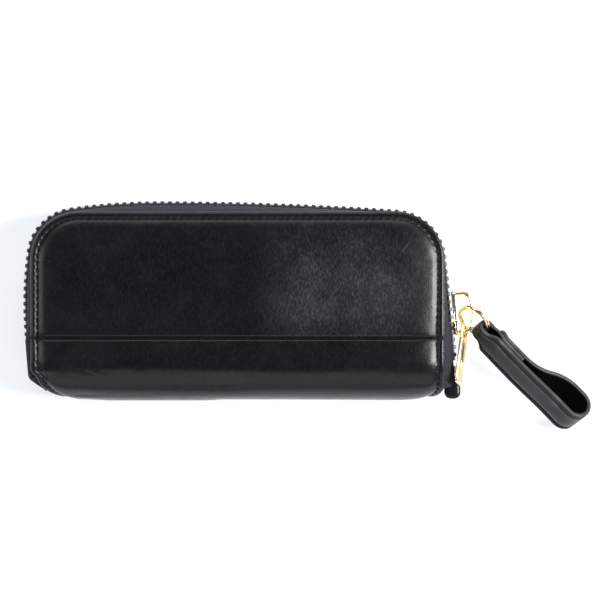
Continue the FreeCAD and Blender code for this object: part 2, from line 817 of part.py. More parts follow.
def bridge_outline():
    """The bridge seen from the front: legs on the outer plate and an arched bar between them."""
    outer = size.bridge_length / 2
    inner = outer - size.bridge_bar
    foot = plate_outside - size.slider_plate / 2
    crown = size.bridge_crown
    hole = plate_outside + size.bridge_hole - crown
    bar = hole + size.bridge_bar
    arch_centre = bar + crown / 2 - outer * outer / (2 * crown)
    hole_centre = hole + crown / 2 - inner * inner / (2 * crown)
    return [
        (foot, -outer),
        (bar, -outer, arch_centre, 0, 1),
        (bar, outer),
        (foot, outer),
        (foot, inner),
        (hole, inner, hole_centre, 0, -1),
        (hole, -inner),
        (foot, -inner),
    ]


def pull_frame():
    """The pull hangs from the bridge's lower leg, leaning on the front tape."""
    frame = chain_frame(size.slider_place.value)
    lean = math.tan(math.radians(size.pull_lean.value))
    lift = math.tan(math.radians(size.pull_lift.value))
    leg = (size.bridge_length - size.bridge_bar).value / 2
    above_leg = (size.bridge_bar / 2 + size.pull_rim).value
    rest = Vector((plate_outside + size.pull_seat).value, above_leg - leg, -above_leg * lift)
    outward = frame.Rotation.multVec(Vector(1, 0, 0))
    along = frame.Rotation.multVec(Vector(0, 1, 0))
    up = Vector(0, 0, 1)
    roll = math.radians(size.pull_roll.value)
    hang = (up * lift - along - outward * lean).normalize()
    face = outward * math.cos(roll) + up * math.sin(roll)
    face = (face - hang * face.dot(hang)).normalize()
    return Placement(frame.multVec(rest), Rotation(face.cross(hang), hang * -1, face, "ZYX"))


def pull_tab():
    """A flat pull with a long slot over the bridge and a solid lower end."""
    body = new_body("pull_tab")
    half = size.pull_width / 2
    top = size.pull_rim / 2
    low = top - size.pull_length
    bend = half / 2
    sketch = new_sketch(body, "XY_Plane")
    draw(sketch, [
        (-half, low + bend, bend - half, low + bend, 1),
        (bend - half, low),
        (half - bend, low, half - bend, low + bend, 1),
        (half, low + bend),
        (half, top - bend, half - bend, top - bend, 1),
        (half - bend, top),
        (bend - half, top, bend - half, top - bend, 1),
        (-half, top - bend),
    ])
    extrude(body, "Pad", sketch, size.pull_thickness, "both")
    slot = new_sketch(body, "XY_Plane")
    gap = size.pull_slot / 2
    slot_top = top - size.pull_rim
    draw(slot, rectangle(-gap, gap, slot_top - size.pull_slot_length, slot_top))
    cut_through(body, slot)
    body.Placement = pull_frame()


def strap_axes():
    """Unit vectors along the strap, across its width and out of its upper face."""
    turn = -math.radians(size.strap_heading.value)
    dip = math.radians(size.strap_dip.value)
    tilt = math.radians(size.strap_tilt.value)
    along = Vector(math.cos(turn) * math.cos(dip), math.sin(turn) * math.cos(dip), -math.sin(dip))
    level_side = Vector(-math.sin(turn), math.cos(turn), 0)
    across = level_side * math.cos(tilt) + along.cross(level_side) * math.sin(tilt)
    return along, across, along.cross(across)


def ring_centre():
    frame = chain_frame(size.slider_place.value)
    seat = Vector((plate_outside + size.ring_bed).value, size.ring_seat.value, 0)
    return frame.multVec(seat) + strap_axes()[0] * size.ring_radius.value


def jump_ring():
    """A wire ring with a six-sided section."""
    body = new_body("jump_ring")
    section = new_sketch(body, "XZ_Plane")
    draw(section, corners_round(size.ring_radius, as_dim(0), size.ring_wire / 2, 6))
    ring = body.newObject("PartDesign::Revolution", "Revolution")
    ring.Profile = section
    ring.ReferenceAxis = (section, ["V_Axis"])
    ring.Angle = 360
    along, across, face = strap_axes()
    body.Placement = Placement(ring_centre(), Rotation(along, across, face, "ZXY"))


def sway(length, offset):
    """Two equal arcs that carry a path sideways and leave it in its first direction."""
    turn = 2 * math.atan2(abs(offset), length)
    radius = math.copysign(length / (2 * math.sin(turn)), offset)
    run = turn * abs(radius)
    return [(run, radius), (run, -radius)]


def strap_path():
    """Middle line of the strap's leather: a tuck, the fold round the ring, out along the upper
    layer, round the loop's end and back under the tuck. X runs along the strap, Y out of its face."""
    ply = (size.strap_leather + size.strap_ply_gap).value
    fold = (size.strap_eye + size.strap_leather / 2).value
    sewn = size.strap_sewn.value
    spread = size.strap_spread.value
    neck = sewn / 2
    tuck = fold - ply
    under = tuck - ply
    bend = size.strap_bow.value / 2
    lift = size.strap_lift.value
    rise = size.strap_bow.value - lift - fold + under
    end = (size.strap_length - size.strap_leather / 2).value
    plain = end - bend - sewn - spread
    moves = [(sewn - neck, None)]
    moves += sway(neck, fold + tuck)
    moves += [(math.pi * fold, -fold), (sewn, None)]
    moves += sway(spread, lift)
    moves += [(plain, None), (math.pi * bend, -bend), (plain, None)]
    moves += sway(spread, -rise)
    moves += [(neck, None)]
    return walk(Vector(sewn, tuck), math.pi, moves)


def strap_loop():
    """One strip of leather, narrowed to a tongue where it passes through the ring."""
    half = size.strap_leather.value / 2
    width = size.strap_width.value
    shape = Part.Face(band(strap_path(), half, -half, -width / 2)).extrude(Vector(0, 0, width))
    deep = size.strap_bow.value * 2
    fold = (size.strap_eye + size.strap_leather).value
    tongue = size.strap_tongue.value / 2
    shoulder = (size.ring_wire + size.strap_play).value
    for side in (-1, 1):
        corners = [
            (-2 * fold, tongue), (shoulder, tongue), (shoulder + size.strap_shoulder.value, width / 2),
            (shoulder + size.strap_shoulder.value, width), (-2 * fold, width), (-2 * fold, tongue),
        ]
        notch = Part.makePolygon([Vector(along, -deep, across * side) for along, across in corners])
        shape = shape.cut(Part.Face(notch).extrude(Vector(0, 2 * deep, 0)))
    along, across, face = strap_axes()
    origin = ring_centre() + along * (size.ring_radius - size.strap_play).value
    strap = new_shape("strap_loop", shape.removeSplitter())
    strap.Placement = Placement(origin, Rotation(along, face, across * -1, "XYZ"))


# Hook bar, hooks and gates

bore = size.pin_radius + size.pin_play
hook_half = (hook_pitch - size.hook_apart) / 2
hook_inside = hook_half - size.hook_limb
neck_end = bar_line + size.hook_neck
base_face = neck_end + size.hook_base
loop_end = bar_line + size.hook_length - hook_half
nose_end = loop_end - size.hook_nose
gate_line = hook_half - size.hook_limb / 2


def hook_place(index):
    return bar_centre + hook_pitch * (index - (HOOKS - 1) / 2)


def hook_bar():
    """A plate rolled into a slotted barrel along one edge."""
    body = new_body("hook_bar")
    low = bar_centre - bar_length / 2
    high = bar_centre + bar_length / 2
    plate = new_sketch(body, "XY_Plane", floor_level)
    draw(plate, rectangle(bar_line - size.bar_width, bar_line, low, high))
    extrude(body, "Pad", plate, size.bar_plate)
    barrel = new_sketch(body, "XZ_Plane", -bar_centre)
    draw(barrel, corners_round(bar_line, pin_level, size.barrel_radius, 8))
    extrude(body, "Pad", barrel, bar_length, "both")
    hole = new_sketch(body, "XZ_Plane", -bar_centre)
    draw_circle(hole, bar_line, pin_level, bore)
    cut_through(body, hole)
    reach = size.barrel_radius + size.slot_play
    for index in range(HOOKS):
        slot = new_sketch(body, "XY_Plane", floor_level)
        place = hook_place(index)
        edge = size.slot_width / 2
        draw(slot, rectangle(bar_line - reach, bar_line + reach, place - edge, place + edge))
        cut_through(body, slot)
    bore_rivets(body)


def hook_pin():
    pin = doc.addObject("Part::Cylinder", "hook_pin")
    bind(pin, "Radius", size.pin_radius)
    bind(pin, "Height", bar_length)
    start = Vector(bar_line.value, (bar_centre - bar_length / 2).value, pin_level.value)
    pin.Placement = Placement(start, Rotation(Vector(1, 0, 0), -90))
    subparts.append(pin)


def bar_rivets():
    """Two rivets from the bar's plate through the lining and the back board."""
    rivets = []
    foot = size.leather.value
    seat = (floor_level + size.bar_plate).value
    for place in rivet_places():
        shank = doc.addObject("Part::Prism", "Shank")
        shank.Polygon = 8
        bind(shank, "Circumradius", size.rivet_shank)
        bind(shank, "Height", floor_level + size.bar_plate - size.leather)
        shank.Placement.Base = Vector(rivet_column().value, place.value, foot)
        head = doc.addObject("Part::Cone", "Head")
        bind(head, "Radius1", size.rivet_head)
        bind(head, "Radius2", size.rivet_shank)
        bind(head, "Height", size.rivet_crown)
        head.Placement.Base = Vector(rivet_column().value, place.value, seat)
        rivet = doc.addObject("Part::Fuse", "Rivet")
        rivet.Base = shank
        rivet.Tool = head
        rivets.append(rivet)
    pair = doc.addObject("Part::Compound", "bar_rivets")
    pair.Links = rivets
    subparts.append(pair)


def key_hook(index):
    """An eye on the pin, a shank and a flat loop that is open on one side for the gate."""
    body = new_body(f"key_hook_{index + 1}")
    line = hook_place(index)
    shank = size.hook_shank / 2
    start = bar_line + (size.eye_radius + bore) / 2
    socket = size.gate_root + size.gate_play
    low = line - hook_half
    high = line + hook_half
    gate = line - gate_line
    loop = new_sketch(body, "XY_Plane", pin_level)
    draw(loop, [
        (start, line - shank),
        (neck_end, line - shank),
        (neck_end, low),
        (base_face, low),
        (base_face, gate - socket, base_face, gate, -1),
        (base_face, gate + socket),
        (base_face, line + hook_inside),
        (loop_end, line + hook_inside, loop_end, line, -1),
        (loop_end, line - hook_inside),
        (nose_end, line - hook_inside),
        (nose_end, low),
        (loop_end, low, loop_end, line, 1),
        (loop_end, high),
        (neck_end, high),
        (neck_end, line + shank),
        (start, line + shank),
    ])
    extrude(body, "Pad", loop, size.hook_thickness, "both")
    eye = new_sketch(body, "XZ_Plane", -line)
    draw(eye, corners_round(bar_line, pin_level, size.eye_radius, 8))
    extrude(body, "Pad", eye, size.eye_width, "both")
    hole = new_sketch(body, "XZ_Plane", -line)
    draw_circle(hole, bar_line, pin_level, bore)
    cut_through(body, hole)


def hook_gate(index):
    """The sprung gate of a hook, with a round root in the hook's socket."""
    body = new_body(f"hook_gate_{index + 1}")
    line = hook_place(index) - gate_line
    root = size.gate_root
    tip = nose_end - size.gate_play
    sketch = new_sketch(body, "XY_Plane", pin_level)
    draw(sketch, [
        (base_face, line + root, base_face, line, 1),
        (base_face, line - root),
        (tip, line - size.gate_tip),
        (tip, line + size.gate_tip),
    ])
    extrude(body, "Pad", sketch, size.hook_thickness, "both")


chain = chain_path()
cover_panel("front_panel", True)
cover_panel("back_panel", False)
cover_board("front_board", True)
bore_rivets(cover_board("back_board", False))
spine_strip()
spine_board()
case_lining()
front_lining()
zipper()
end_stops()
end_tab()
slider()
pull_tab()
jump_ring()
strap_loop()
hook_bar()
hook_pin()
bar_rivets()
for number in range(HOOKS):
    key_hook(number)
    hook_gate(number)

doc.recompute()
failed = [item.Name for item in doc.Objects if {"Invalid", "Error"} & set(item.State)]
if failed:
    raise SystemExit(f"features that failed: {failed}")
for piece in subparts:
    if piece.Shape.isNull() or not piece.Shape.isValid() or not piece.Shape.Solids:
        raise SystemExit(f"no sound solid in {piece.Label}")
os.makedirs("parts", exist_ok=True)
for piece in subparts:
    piece.Shape.exportStep(f"parts/{piece.Label}.step")
    print(piece.Label, len(piece.Shape.Solids), round(piece.Shape.Volume, 2))
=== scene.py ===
import math

import bmesh
import bpy
import numpy as np
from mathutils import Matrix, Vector


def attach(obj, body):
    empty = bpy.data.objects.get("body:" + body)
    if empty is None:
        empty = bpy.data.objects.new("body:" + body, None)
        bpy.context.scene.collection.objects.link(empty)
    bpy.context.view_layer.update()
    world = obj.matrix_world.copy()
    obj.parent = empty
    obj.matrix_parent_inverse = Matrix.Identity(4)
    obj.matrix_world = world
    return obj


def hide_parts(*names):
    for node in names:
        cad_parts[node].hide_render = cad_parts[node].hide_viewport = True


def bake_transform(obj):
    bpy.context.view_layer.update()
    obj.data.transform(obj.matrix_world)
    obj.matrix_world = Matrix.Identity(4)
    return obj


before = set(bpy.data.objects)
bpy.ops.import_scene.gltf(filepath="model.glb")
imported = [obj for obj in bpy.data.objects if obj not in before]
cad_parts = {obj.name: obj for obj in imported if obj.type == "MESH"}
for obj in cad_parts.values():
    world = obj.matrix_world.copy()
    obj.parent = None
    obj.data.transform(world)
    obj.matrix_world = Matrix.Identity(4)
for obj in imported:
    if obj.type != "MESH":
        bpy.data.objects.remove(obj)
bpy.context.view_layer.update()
print("solids loaded:", len(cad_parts))

# Lengths in the settings are millimetres in the frame of the solids; those of the camera and the lamps are metres.
mm = 0.001
case = {
    "halfLength": 64.2, "topEdge": 29.2, "depth": 25.0, "corner": 15.0,
    "seam": -10.0, "seamGap": 0.3, "borderFace": 24.0, "leather": 1.2,
    "spineRadius": 12.5, "spineAxis": -16.7, "spineLeft": 9.0, "spineRight": 3.0, "cornerGap": 1.3,
}
midLevel = case["depth"] / 2
coverLow = case["seam"] + case["seamGap"] / 2
spineLow = case["seam"] - case["seamGap"] / 2


def addObject(name, data):
    made = bpy.data.objects.new(name, data)
    bpy.context.scene.collection.objects.link(made)
    return made


# Camera and studio

studio = {
    "centre": (0.0194, 0.0018), "height": 3.0, "across": 0.186, "sensor": 36.0, "clip": (0.05, 50.0),
    "aim": (0.0194, 0.0, 0.01), "sky": (0.92, 0.96, 1.0), "skyStrength": 0.1,
    "floorColour": (0.5, 0.5, 0.5), "floorGlow": 0.68, "floorSize": 6000.0, "floorGap": 0.25,
}
lamps = {
    "rightBox": {"at": (1.1, 0.05, 0.95), "size": (0.48, 0.9), "power": 38.0},
    "backBox": {"at": (-0.1, 1.15, 0.95), "size": (1.4, 0.7), "power": 7.5},
    "leftBox": {"at": (-1.15, 0.1, 0.9), "size": (0.45, 1.2), "power": 5.5},
    "nearBox": {"at": (0.0, -1.2, 0.7), "size": (1.8, 1.0), "power": 6.5},
}


def makeCamera():
    data = bpy.data.cameras.new("camera")
    data.sensor_width = studio["sensor"]
    data.lens = studio["sensor"] * (studio["height"] - case["depth"] * mm) / studio["across"]
    data.clip_start, data.clip_end = studio["clip"]
    camera = addObject("camera", data)
    camera.location = (*studio["centre"], studio["height"])
    bpy.context.scene.camera = camera


def makeLamp(name, lamp):
    data = bpy.data.lights.new(name, "AREA")
    data.shape = "RECTANGLE"
    data.size, data.size_y = lamp["size"]
    data.energy = lamp["power"]
    light = addObject(name, data)
    light.location = lamp["at"]
    aim = Vector(studio["aim"]) - Vector(lamp["at"])
    light.rotation_euler = aim.to_track_quat("-Z", "Y").to_euler()


# Shader and geometry trees

class Value:  # a node's output that can be added, multiplied and so on
    def __init__(self, graph, socket):
        self.graph = graph
        self.socket = socket

    def work(self, operation, first, second=0.0):
        return self.graph.node("ShaderNodeMath", {"operation": operation}, {0: first, 1: second})

    def other(self, name):
        return Value(self.graph, self.socket.node.outputs[name])

    def __add__(self, more):
        return self.work("ADD", self, more)

    def __radd__(self, more):
        return self.work("ADD", more, self)

    def __sub__(self, less):
        return self.work("SUBTRACT", self, less)

    def __rsub__(self, more):
        return self.work("SUBTRACT", more, self)

    def __mul__(self, times):
        return self.work("MULTIPLY", self, times)

    def __rmul__(self, times):
        return self.work("MULTIPLY", times, self)

    def __truediv__(self, share):
        return self.work("DIVIDE", self, share)

    def __rtruediv__(self, whole):
        return self.work("DIVIDE", whole, self)

    def sine(self):
        return self.work("SINE", self)


class Graph:
    def __init__(self, tree):
        self.tree = tree

    def node(self, kind, settings=None, sockets=None, output=0):
        made = self.tree.nodes.new(kind)
        for name, setting in (settings or {}).items():
            setattr(made, name, setting)
        for name, content in (sockets or {}).items():
            if isinstance(content, Value):
                self.tree.links.new(content.socket, made.inputs[name])
            else:
                made.inputs[name].default_value = content
        return Value(self, made.outputs[output]) if made.outputs else None

    def blendColour(self, share, first, second):
        return self.node("ShaderNodeMix", {"data_type": "RGBA"}, {0: share, 6: first, 7: second}, 2)

    def span(self, value, low, high, first=0.0, second=1.0):
        sockets = {"Value": value, "From Min": low, "From Max": high, "To Min": first, "To Max": second}
        return self.node("ShaderNodeMapRange", {"clamp": True}, sockets)

    def tone(self, look, value, low, high):
        return self.blendColour(self.span(value, low, high), look["dark"], look["pale"])

    def gloss(self, look, value, low, high):
        return self.span(value, low, high, look["smooth"], look["dull"])

    def bump(self, height, strength, distance, normal=None):
        sockets = {"Height": height, "Strength": strength, "Distance": distance * mm}
        if normal is not None:
            sockets["Normal"] = normal
        return self.node("ShaderNodeBump", {}, sockets)

    def noise(self, place, scale, detail=3.0, rough=0.5):
        sockets = {"Vector": place, "Scale": scale, "Detail": detail, "Roughness": rough}
        return self.node("ShaderNodeTexNoise", {}, sockets)

    def marks(self, place, size, turn=(0.0, 0.0, 0.0), detail=3.0, rough=0.6):
        # noise that is turned first and then stretched, so that a mark has this size in millimetres
        sockets = {"Vector": place, "Scale": tuple(part * mm for part in size), "Rotation": turn}
        stretched = self.node("ShaderNodeMapping", {"vector_type": "TEXTURE"}, sockets)
        return self.noise(stretched, 1.0, detail, rough)


def makeFinish(name, recipe, look):
    # a recipe gives what feeds the shader's sockets
    material = bpy.data.materials.new(name)
    material.use_nodes = True
    material.node_tree.nodes.clear()
    graph = Graph(material.node_tree)
    place = graph.node("ShaderNodeTexCoord", output="Object")
    shader = graph.node("ShaderNodeBsdfPrincipled", {}, recipe(graph, place, look))
    graph.node("ShaderNodeOutputMaterial", {}, {"Surface": shader})
    return material


leatherLook = {
    "dark": (0.0018, 0.0019, 0.0024, 1.0), "pale": (0.0030, 0.0032, 0.0040, 1.0),
    # rubbed: rubbed edge wear brightened into a painted highlight; hazy: a painted sheen
    "rubbed": (0.022, 0.0225, 0.024, 1.0), "hazy": (0.054, 0.0545, 0.058, 1.0),
    # deep: painted shade for the sewn grooves, the seam and the strap's creases
    "deep": (0.0007, 0.0007, 0.0009, 1.0), "smooth": 0.25, "dull": 0.37, "coat": 0.08, "specular": 0.28,
    "cloud": 38.0, "patches": 95.0, "waves": 140.0, "grain": 1500.0, "pores": 3800.0,
    "scuff": (4.8, 26.0, 16.0), "upright": (0.34, 1.3, 0.7), "leaning": (0.42, 1.6, 0.8),
}


def leatherRecipe(graph, place, look):
    rub, haze, shade = (graph.node("ShaderNodeAttribute", {"attribute_name": name}, {}, "Fac")
                        for name in ("rub", "haze", "shade"))
    cloud = graph.noise(place, look["cloud"], 4.0, 0.55)
    patches = graph.noise(place, look["patches"], 4.0, 0.6)
    scuffs = graph.marks(place, look["scuff"], (0.0, 0.0, -0.6), rough=0.65)
    upright = graph.marks(place, look["upright"], (0.0, 0.0, 0.12))
    leaning = graph.marks(place, look["leaning"], (0.0, 0.0, -0.28))
    strokes = graph.span(upright * 0.6 + leaning * 0.4, 0.47, 0.63)
    cells = graph.node("ShaderNodeTexVoronoi", {"feature": "DISTANCE_TO_EDGE"},
                       {"Vector": place, "Scale": look["grain"], "Randomness": 1.0}, "Distance")
    pebbles = graph.span(cells, 0.0, 0.25)
    pores = graph.noise(place, look["pores"], 2.0)
    worn = graph.span(scuffs, 0.5, 0.75)
    sheenPatchMask = haze * graph.span(patches, 0.3, 0.68, 0.35, 1.0)
    tone = graph.tone(look, cloud, 0.3, 0.7)
    # rubbed edge wear on rims and the strap's ridges, partly a painted highlight, as on the shoulder
    tone = graph.blendColour(graph.span(rub * (0.5 + worn), 0.0, 1.1, 0.0, 0.9), tone, look["rubbed"])
    # painted sheen: the grey haze of a reflected light blended into the colour, over the front's patch and along
    # fine streaks
    tone = graph.blendColour(sheenPatchMask * (strokes * 0.62 + 0.18) + strokes * 0.11, tone, look["hazy"])
    # painted shade: grooves, the seam crease and the strap's creases darkened towards the deep colour
    tone = graph.blendColour(graph.span(shade, 0.0, 1.0, 0.0, 0.9), tone, look["deep"])
    gloss = graph.gloss(look, cloud * 0.5 + patches * 0.5, 0.35, 0.65)
    gloss = gloss + worn * 0.05 - pebbles * 0.03 + sheenPatchMask * 0.1 + shade * 0.45
    fine = graph.bump(pebbles * 0.35 + pores * 0.3 + strokes * 0.2, 0.32, 0.06)
    soft = graph.bump(graph.noise(place, look["waves"]), 0.22, 0.6, fine)
    return {
        "Base Color": tone, "Roughness": gloss, "Normal": soft,
        "Coat Weight": look["coat"], "Coat Roughness": 0.2, "Specular IOR Level": look["specular"],
    }


goldLook = {
    "bright": (0.97, 0.83, 0.54, 1.0), "deep": (0.87, 0.66, 0.33, 1.0), "smooth": 0.15, "dull": 0.27,
    "cloud": 220.0, "brushed": (0.26, 1.4, 0.42),
}


def goldRecipe(graph, place, look):
    cloud = graph.noise(place, look["cloud"], 4.0, 0.6)
    brushed = graph.marks(place, look["brushed"], (0.3, 0.2, 0.1))
    return {
        "Base Color": graph.blendColour(graph.span(cloud, 0.35, 0.7, 0.0, 0.6), look["bright"], look["deep"]),
        "Metallic": 1.0, "Roughness": graph.gloss(look, cloud * 0.5 + brushed * 0.5, 0.3, 0.7),
        "Normal": graph.bump(brushed * 0.6 + cloud * 0.4, 0.012, 0.05),
    }


tapeLook = {
    "dark": (0.0018, 0.0021, 0.0034, 1.0), "pale": (0.042, 0.047, 0.062, 1.0), "across": 1150.0, "along": 900.0,
}
liningLook = {
    "dark": (0.008, 0.008, 0.009, 1.0), "pale": (0.042, 0.042, 0.046, 1.0), "across": 1500.0, "along": 1500.0,
}


def weaveRecipe(graph, place, look):
    # twill: ribs that step sideways with every other thread
    flat = graph.node("ShaderNodeUVMap", {"uv_map": "UVMap"})
    parts = graph.node("ShaderNodeSeparateXYZ", {}, {"Vector": flat})
    along = parts.other("X") * (look["along"] * 2.0 * math.pi)
    across = parts.other("Y") * (look["across"] * 2.0 * math.pi)
    rib = (along + across * 0.5).sine() * 0.5 + 0.5
    thread = across.sine() * 0.5 + 0.5
    relief = rib * 0.6 + thread * 0.4 + graph.noise(place, 5200.0, 3.0, 0.6) * 0.5
    return {
        "Base Color": graph.tone(look, relief, 0.3, 1.3), "Roughness": graph.span(relief, 0.2, 1.2, 0.92, 0.68),
        "Normal": graph.bump(relief, 0.55, 0.12), "Specular IOR Level": 0.14, "Sheen Weight": 0.04,
    }


toothLook = {
    "dark": (0.011, 0.0125, 0.0165, 1.0), "pale": (0.040, 0.045, 0.055, 1.0), "smooth": 0.26, "dull": 0.42,
    "cloud": 900.0, "flow": (0.67, 0.67, 2.4),
}


def toothRecipe(graph, place, look):
    cloud = graph.noise(place, look["cloud"], 3.0, 0.6)
    flow = graph.marks(place, look["flow"], detail=2.0, rough=0.5)
    return {
        "Base Color": graph.tone(look, cloud, 0.35, 0.7), "Roughness": graph.gloss(look, flow, 0.3, 0.7),
        "Normal": graph.bump(cloud + flow, 0.2, 0.05),
    }


threadLook = {
    "dark": (0.0035, 0.0038, 0.005, 1.0), "pale": (0.020, 0.021, 0.025, 1.0), "smooth": 0.45, "dull": 0.65,
    "twist": 5200.0, "fuzz": 7000.0,
}


def threadRecipe(graph, place, look):
    parts = graph.node("ShaderNodeSeparateXYZ", {}, {"Vector": place})
    ply = ((parts.other("X") + parts.other("Y") * 0.6 + parts.other("Z")) * look["twist"]).sine() * 0.5 + 0.5
    fuzz = graph.noise(place, look["fuzz"], 2.0)
    return {
        "Base Color": graph.tone(look, ply + fuzz, 0.4, 1.5), "Roughness": graph.gloss(look, fuzz, 0.3, 0.7),
        "Normal": graph.bump(ply + fuzz * 0.4, 0.5, 0.08), "Specular IOR Level": 0.25,
    }


boardLook = {"dark": (0.15, 0.14, 0.125, 1.0), "pale": (0.30, 0.285, 0.26, 1.0), "fibre": (1.4, 6.2, 1.4)}


def boardRecipe(graph, place, look):
    fibres = graph.marks(place, look["fibre"], detail=5.0, rough=0.65)
    return {
        "Base Color": graph.tone(look, fibres, 0.3, 0.7), "Roughness": graph.span(fibres, 0.3, 0.7, 0.95, 0.8),
        "Normal": graph.bump(fibres, 0.4, 0.1),
    }


blackLeather = makeFinish("blackLeather", leatherRecipe, leatherLook)
# the strap's bright rubbed tone is mostly a painted highlight on its ridge lines
strapLeather = makeFinish("strapLeather", leatherRecipe, {
    **leatherLook, "dark": (0.0025, 0.0026, 0.0031, 1.0), "pale": (0.0065, 0.0067, 0.0075, 1.0),
    "rubbed": (0.16, 0.161, 0.168, 1.0), "grain": 1900.0, "smooth": 0.36, "dull": 0.5, "coat": 0.05,
})
# a dark, nearly unreflecting copy of the leather: the strap's flesh side, darkened into painted shade for the
# inside of the loop and its creases
fleshSide = makeFinish("fleshSide", leatherRecipe, {
    **leatherLook, "dark": (0.0007, 0.0007, 0.0009, 1.0), "pale": (0.0022, 0.0022, 0.0026, 1.0),
    "smooth": 0.7, "dull": 0.85, "coat": 0.0, "specular": 0.05,
})
paleGold = makeFinish("paleGold", goldRecipe, goldLook)
satinGold = makeFinish("satinGold", goldRecipe, {**goldLook, "smooth": 0.36, "dull": 0.44})
zipperTape = makeFinish("zipperTape", weaveRecipe, tapeLook)
liningCloth = makeFinish("liningCloth", weaveRecipe, liningLook)
toothEnamel = makeFinish("toothEnamel", toothRecipe, toothLook)
blackThread = makeFinish("blackThread", threadRecipe, threadLook)
greyBoard = makeFinish("greyBoard", boardRecipe, boardLook)
print("finishes made:", len(bpy.data.materials))


# Mesh helpers

def makePiece(name, points, faces, finish, flat=None, sharp=None):
    mesh = bpy.data.meshes.new(name)
    mesh.from_pydata((np.array(points, float) * mm).tolist(), [], [tuple(face) for face in faces])
    if flat is not None:
        corners = np.zeros(len(mesh.loops), np.int32)
        mesh.loops.foreach_get("vertex_index", corners)
        layer = mesh.uv_layers.new(name="UVMap")
        layer.data.foreach_set("uv", (np.array(flat, float)[corners] * mm).ravel())
    shell = bmesh.new()
    shell.from_mesh(mesh)
    bmesh.ops.remove_doubles(shell, verts=shell.verts, dist=1e-7)
    bmesh.ops.recalc_face_normals(shell, faces=shell.faces)
    shell.to_mesh(mesh)
    shell.free()
    shadeSmooth(mesh, sharp)
    mesh.materials.append(finish)
    return addObject(name, mesh)


def shadeSmooth(mesh, sharp):
    mesh.polygons.foreach_set("use_smooth", [True] * len(mesh.polygons))
    if sharp is not None:
        mesh.set_sharp_from_angle(angle=math.radians(sharp))


def gridFaces(rows, columns):
    starts = (row * columns + column for row in range(rows - 1) for column in range(columns - 1))
    return [(one, one + 1, one + columns + 1, one + columns) for one in starts]


def closedShell(upper, lower, faces):
    # two sheets of the same layout, joined by a wall round their rim
    count = len(upper)
    used = {pair for face in faces for pair in zip(face, face[1:] + face[:1])}
    walls = [(two, one, one + count, two + count) for one, two in used if (two, one) not in used]
    below = [tuple(corner + count for corner in reversed(face)) for face in faces]
    return np.vstack([upper, lower]), faces + below + walls


def ease(value, low, high):
    share = np.clip((np.asarray(value, float) - low) / (high - low), 0.0, 1.0)
    return share * share * (3.0 - 2.0 * share)


def bell(value, centre, wide):
    return np.exp(-((value - centre) / wide) ** 2)


def lengthAlong(line):
    return np.concatenate([[0.0], np.cumsum(np.linalg.norm(np.diff(line, axis=0), axis=1))])


def sweep(sections, closed=False):
    # rings of points joined in order and capped at both ends
    rings = len(sections)
    count = len(sections[0])
    points = [spot for section in sections for spot in section]
    faces = []
    for ring in range(rings if closed else rings - 1):
        here = ring * count
        following = (ring + 1) % rings * count
        for one in range(count):
            two = (one + 1) % count
            faces.append((here + one, here + two, following + two, following + one))
    if not closed:
        faces += [tuple(reversed(range(count))), tuple((rings - 1) * count + one for one in range(count))]
    return points, faces


def applyModifiers(piece):
    graph = bpy.context.evaluated_depsgraph_get()
    mesh = bpy.data.meshes.new_from_object(piece.evaluated_get(graph))
    old = piece.data
    piece.modifiers.clear()
    piece.data = mesh
    bpy.data.meshes.remove(old)
    mesh.name = piece.name


def thicken(piece, thickness, even=False):
    solid = piece.modifiers.new("thickness", "SOLIDIFY")
    solid.thickness = thickness * mm
    solid.offset = 0.0
    solid.use_even_offset = even
    applyModifiers(piece)


def setWearAndLight(piece, wearAndLight):
    # values at the points that the leather finish reads
    for name, values in wearAndLight.items():
        attribute = piece.data.attributes.new(name, "FLOAT", "POINT")
        attribute.data.foreach_set("value", np.asarray(values, np.float32))


# Padded leather: the height of a sewn edge by the distance from that edge

sewnEdge = {
    "distance": (0.0, 0.08, 0.2, 0.4, 0.65, 0.95, 1.25, 1.5, 1.7, 1.85, 1.95, 2.05, 2.2, 2.45, 2.8, 3.3, 3.9, 4.7,
                 5.7, 6.9, 8.3, 9.8, 11.4, 13.1, 15.0),
    "height": (-0.62, -0.40, -0.22, -0.02, 0.07, 0.09, 0.05, -0.06, -0.24, -0.42, -0.47, -0.42, -0.20, 0.14, 0.42,
               0.66, 0.84, 0.96, 1.03, 1.08, 1.12, 1.15, 1.17, 1.18, 1.19),
    "stitchLine": 1.95, "boardEdge": (4.7, 5.25), "boardSeam": (1.85, 2.15), "recess": 1.05,
    "mound": 0.42, "moundWide": 0.4, "looseEdge": (2.6, 4.2), "looseSeam": (0.4, 1.6),
    "rim": (0.35, 0.35), "shoulder": (3.4, 0.8), "shoulderHighlight": 0.6, "highlightFrom": (0.3, 1.5), "seamDark": 0.35,
}
seamFold = {
    "distance": (0.0, 0.12, 0.3, 0.55, 0.9, 1.4, 2.0, 3.0, 4.5, 6.0),
    "dip": (1.30, 0.78, 0.46, 0.26, 0.14, 0.07, 0.035, 0.012, 0.0, 0.0), "atEdge": 0.25, "fullFrom": (2.2, 4.6),
}
pinched = {"share": 0.5, "more": 0.3, "moreReach": 9.0, "from": (40.0, 60.0), "spineStretch": 1.6}


def sewnHeight(edge, seam):
    rise = np.interp(edge, sewnEdge["distance"], sewnEdge["height"])
    dip = np.interp(seam, seamFold["distance"], seamFold["dip"])
    return rise - dip * (seamFold["atEdge"] + (1.0 - seamFold["atEdge"]) * ease(edge, *seamFold["fullFrom"]))


def recessHeight(edge, seam):
    inside = ease(edge, *sewnEdge["boardEdge"]) * ease(seam, *sewnEdge["boardSeam"])
    return sewnEdge["recess"] * inside - case["leather"]


def heldShare(edge, seam):
    return 1.0 - ease(edge, *sewnEdge["looseEdge"]) * ease(seam, *sewnEdge["looseSeam"])


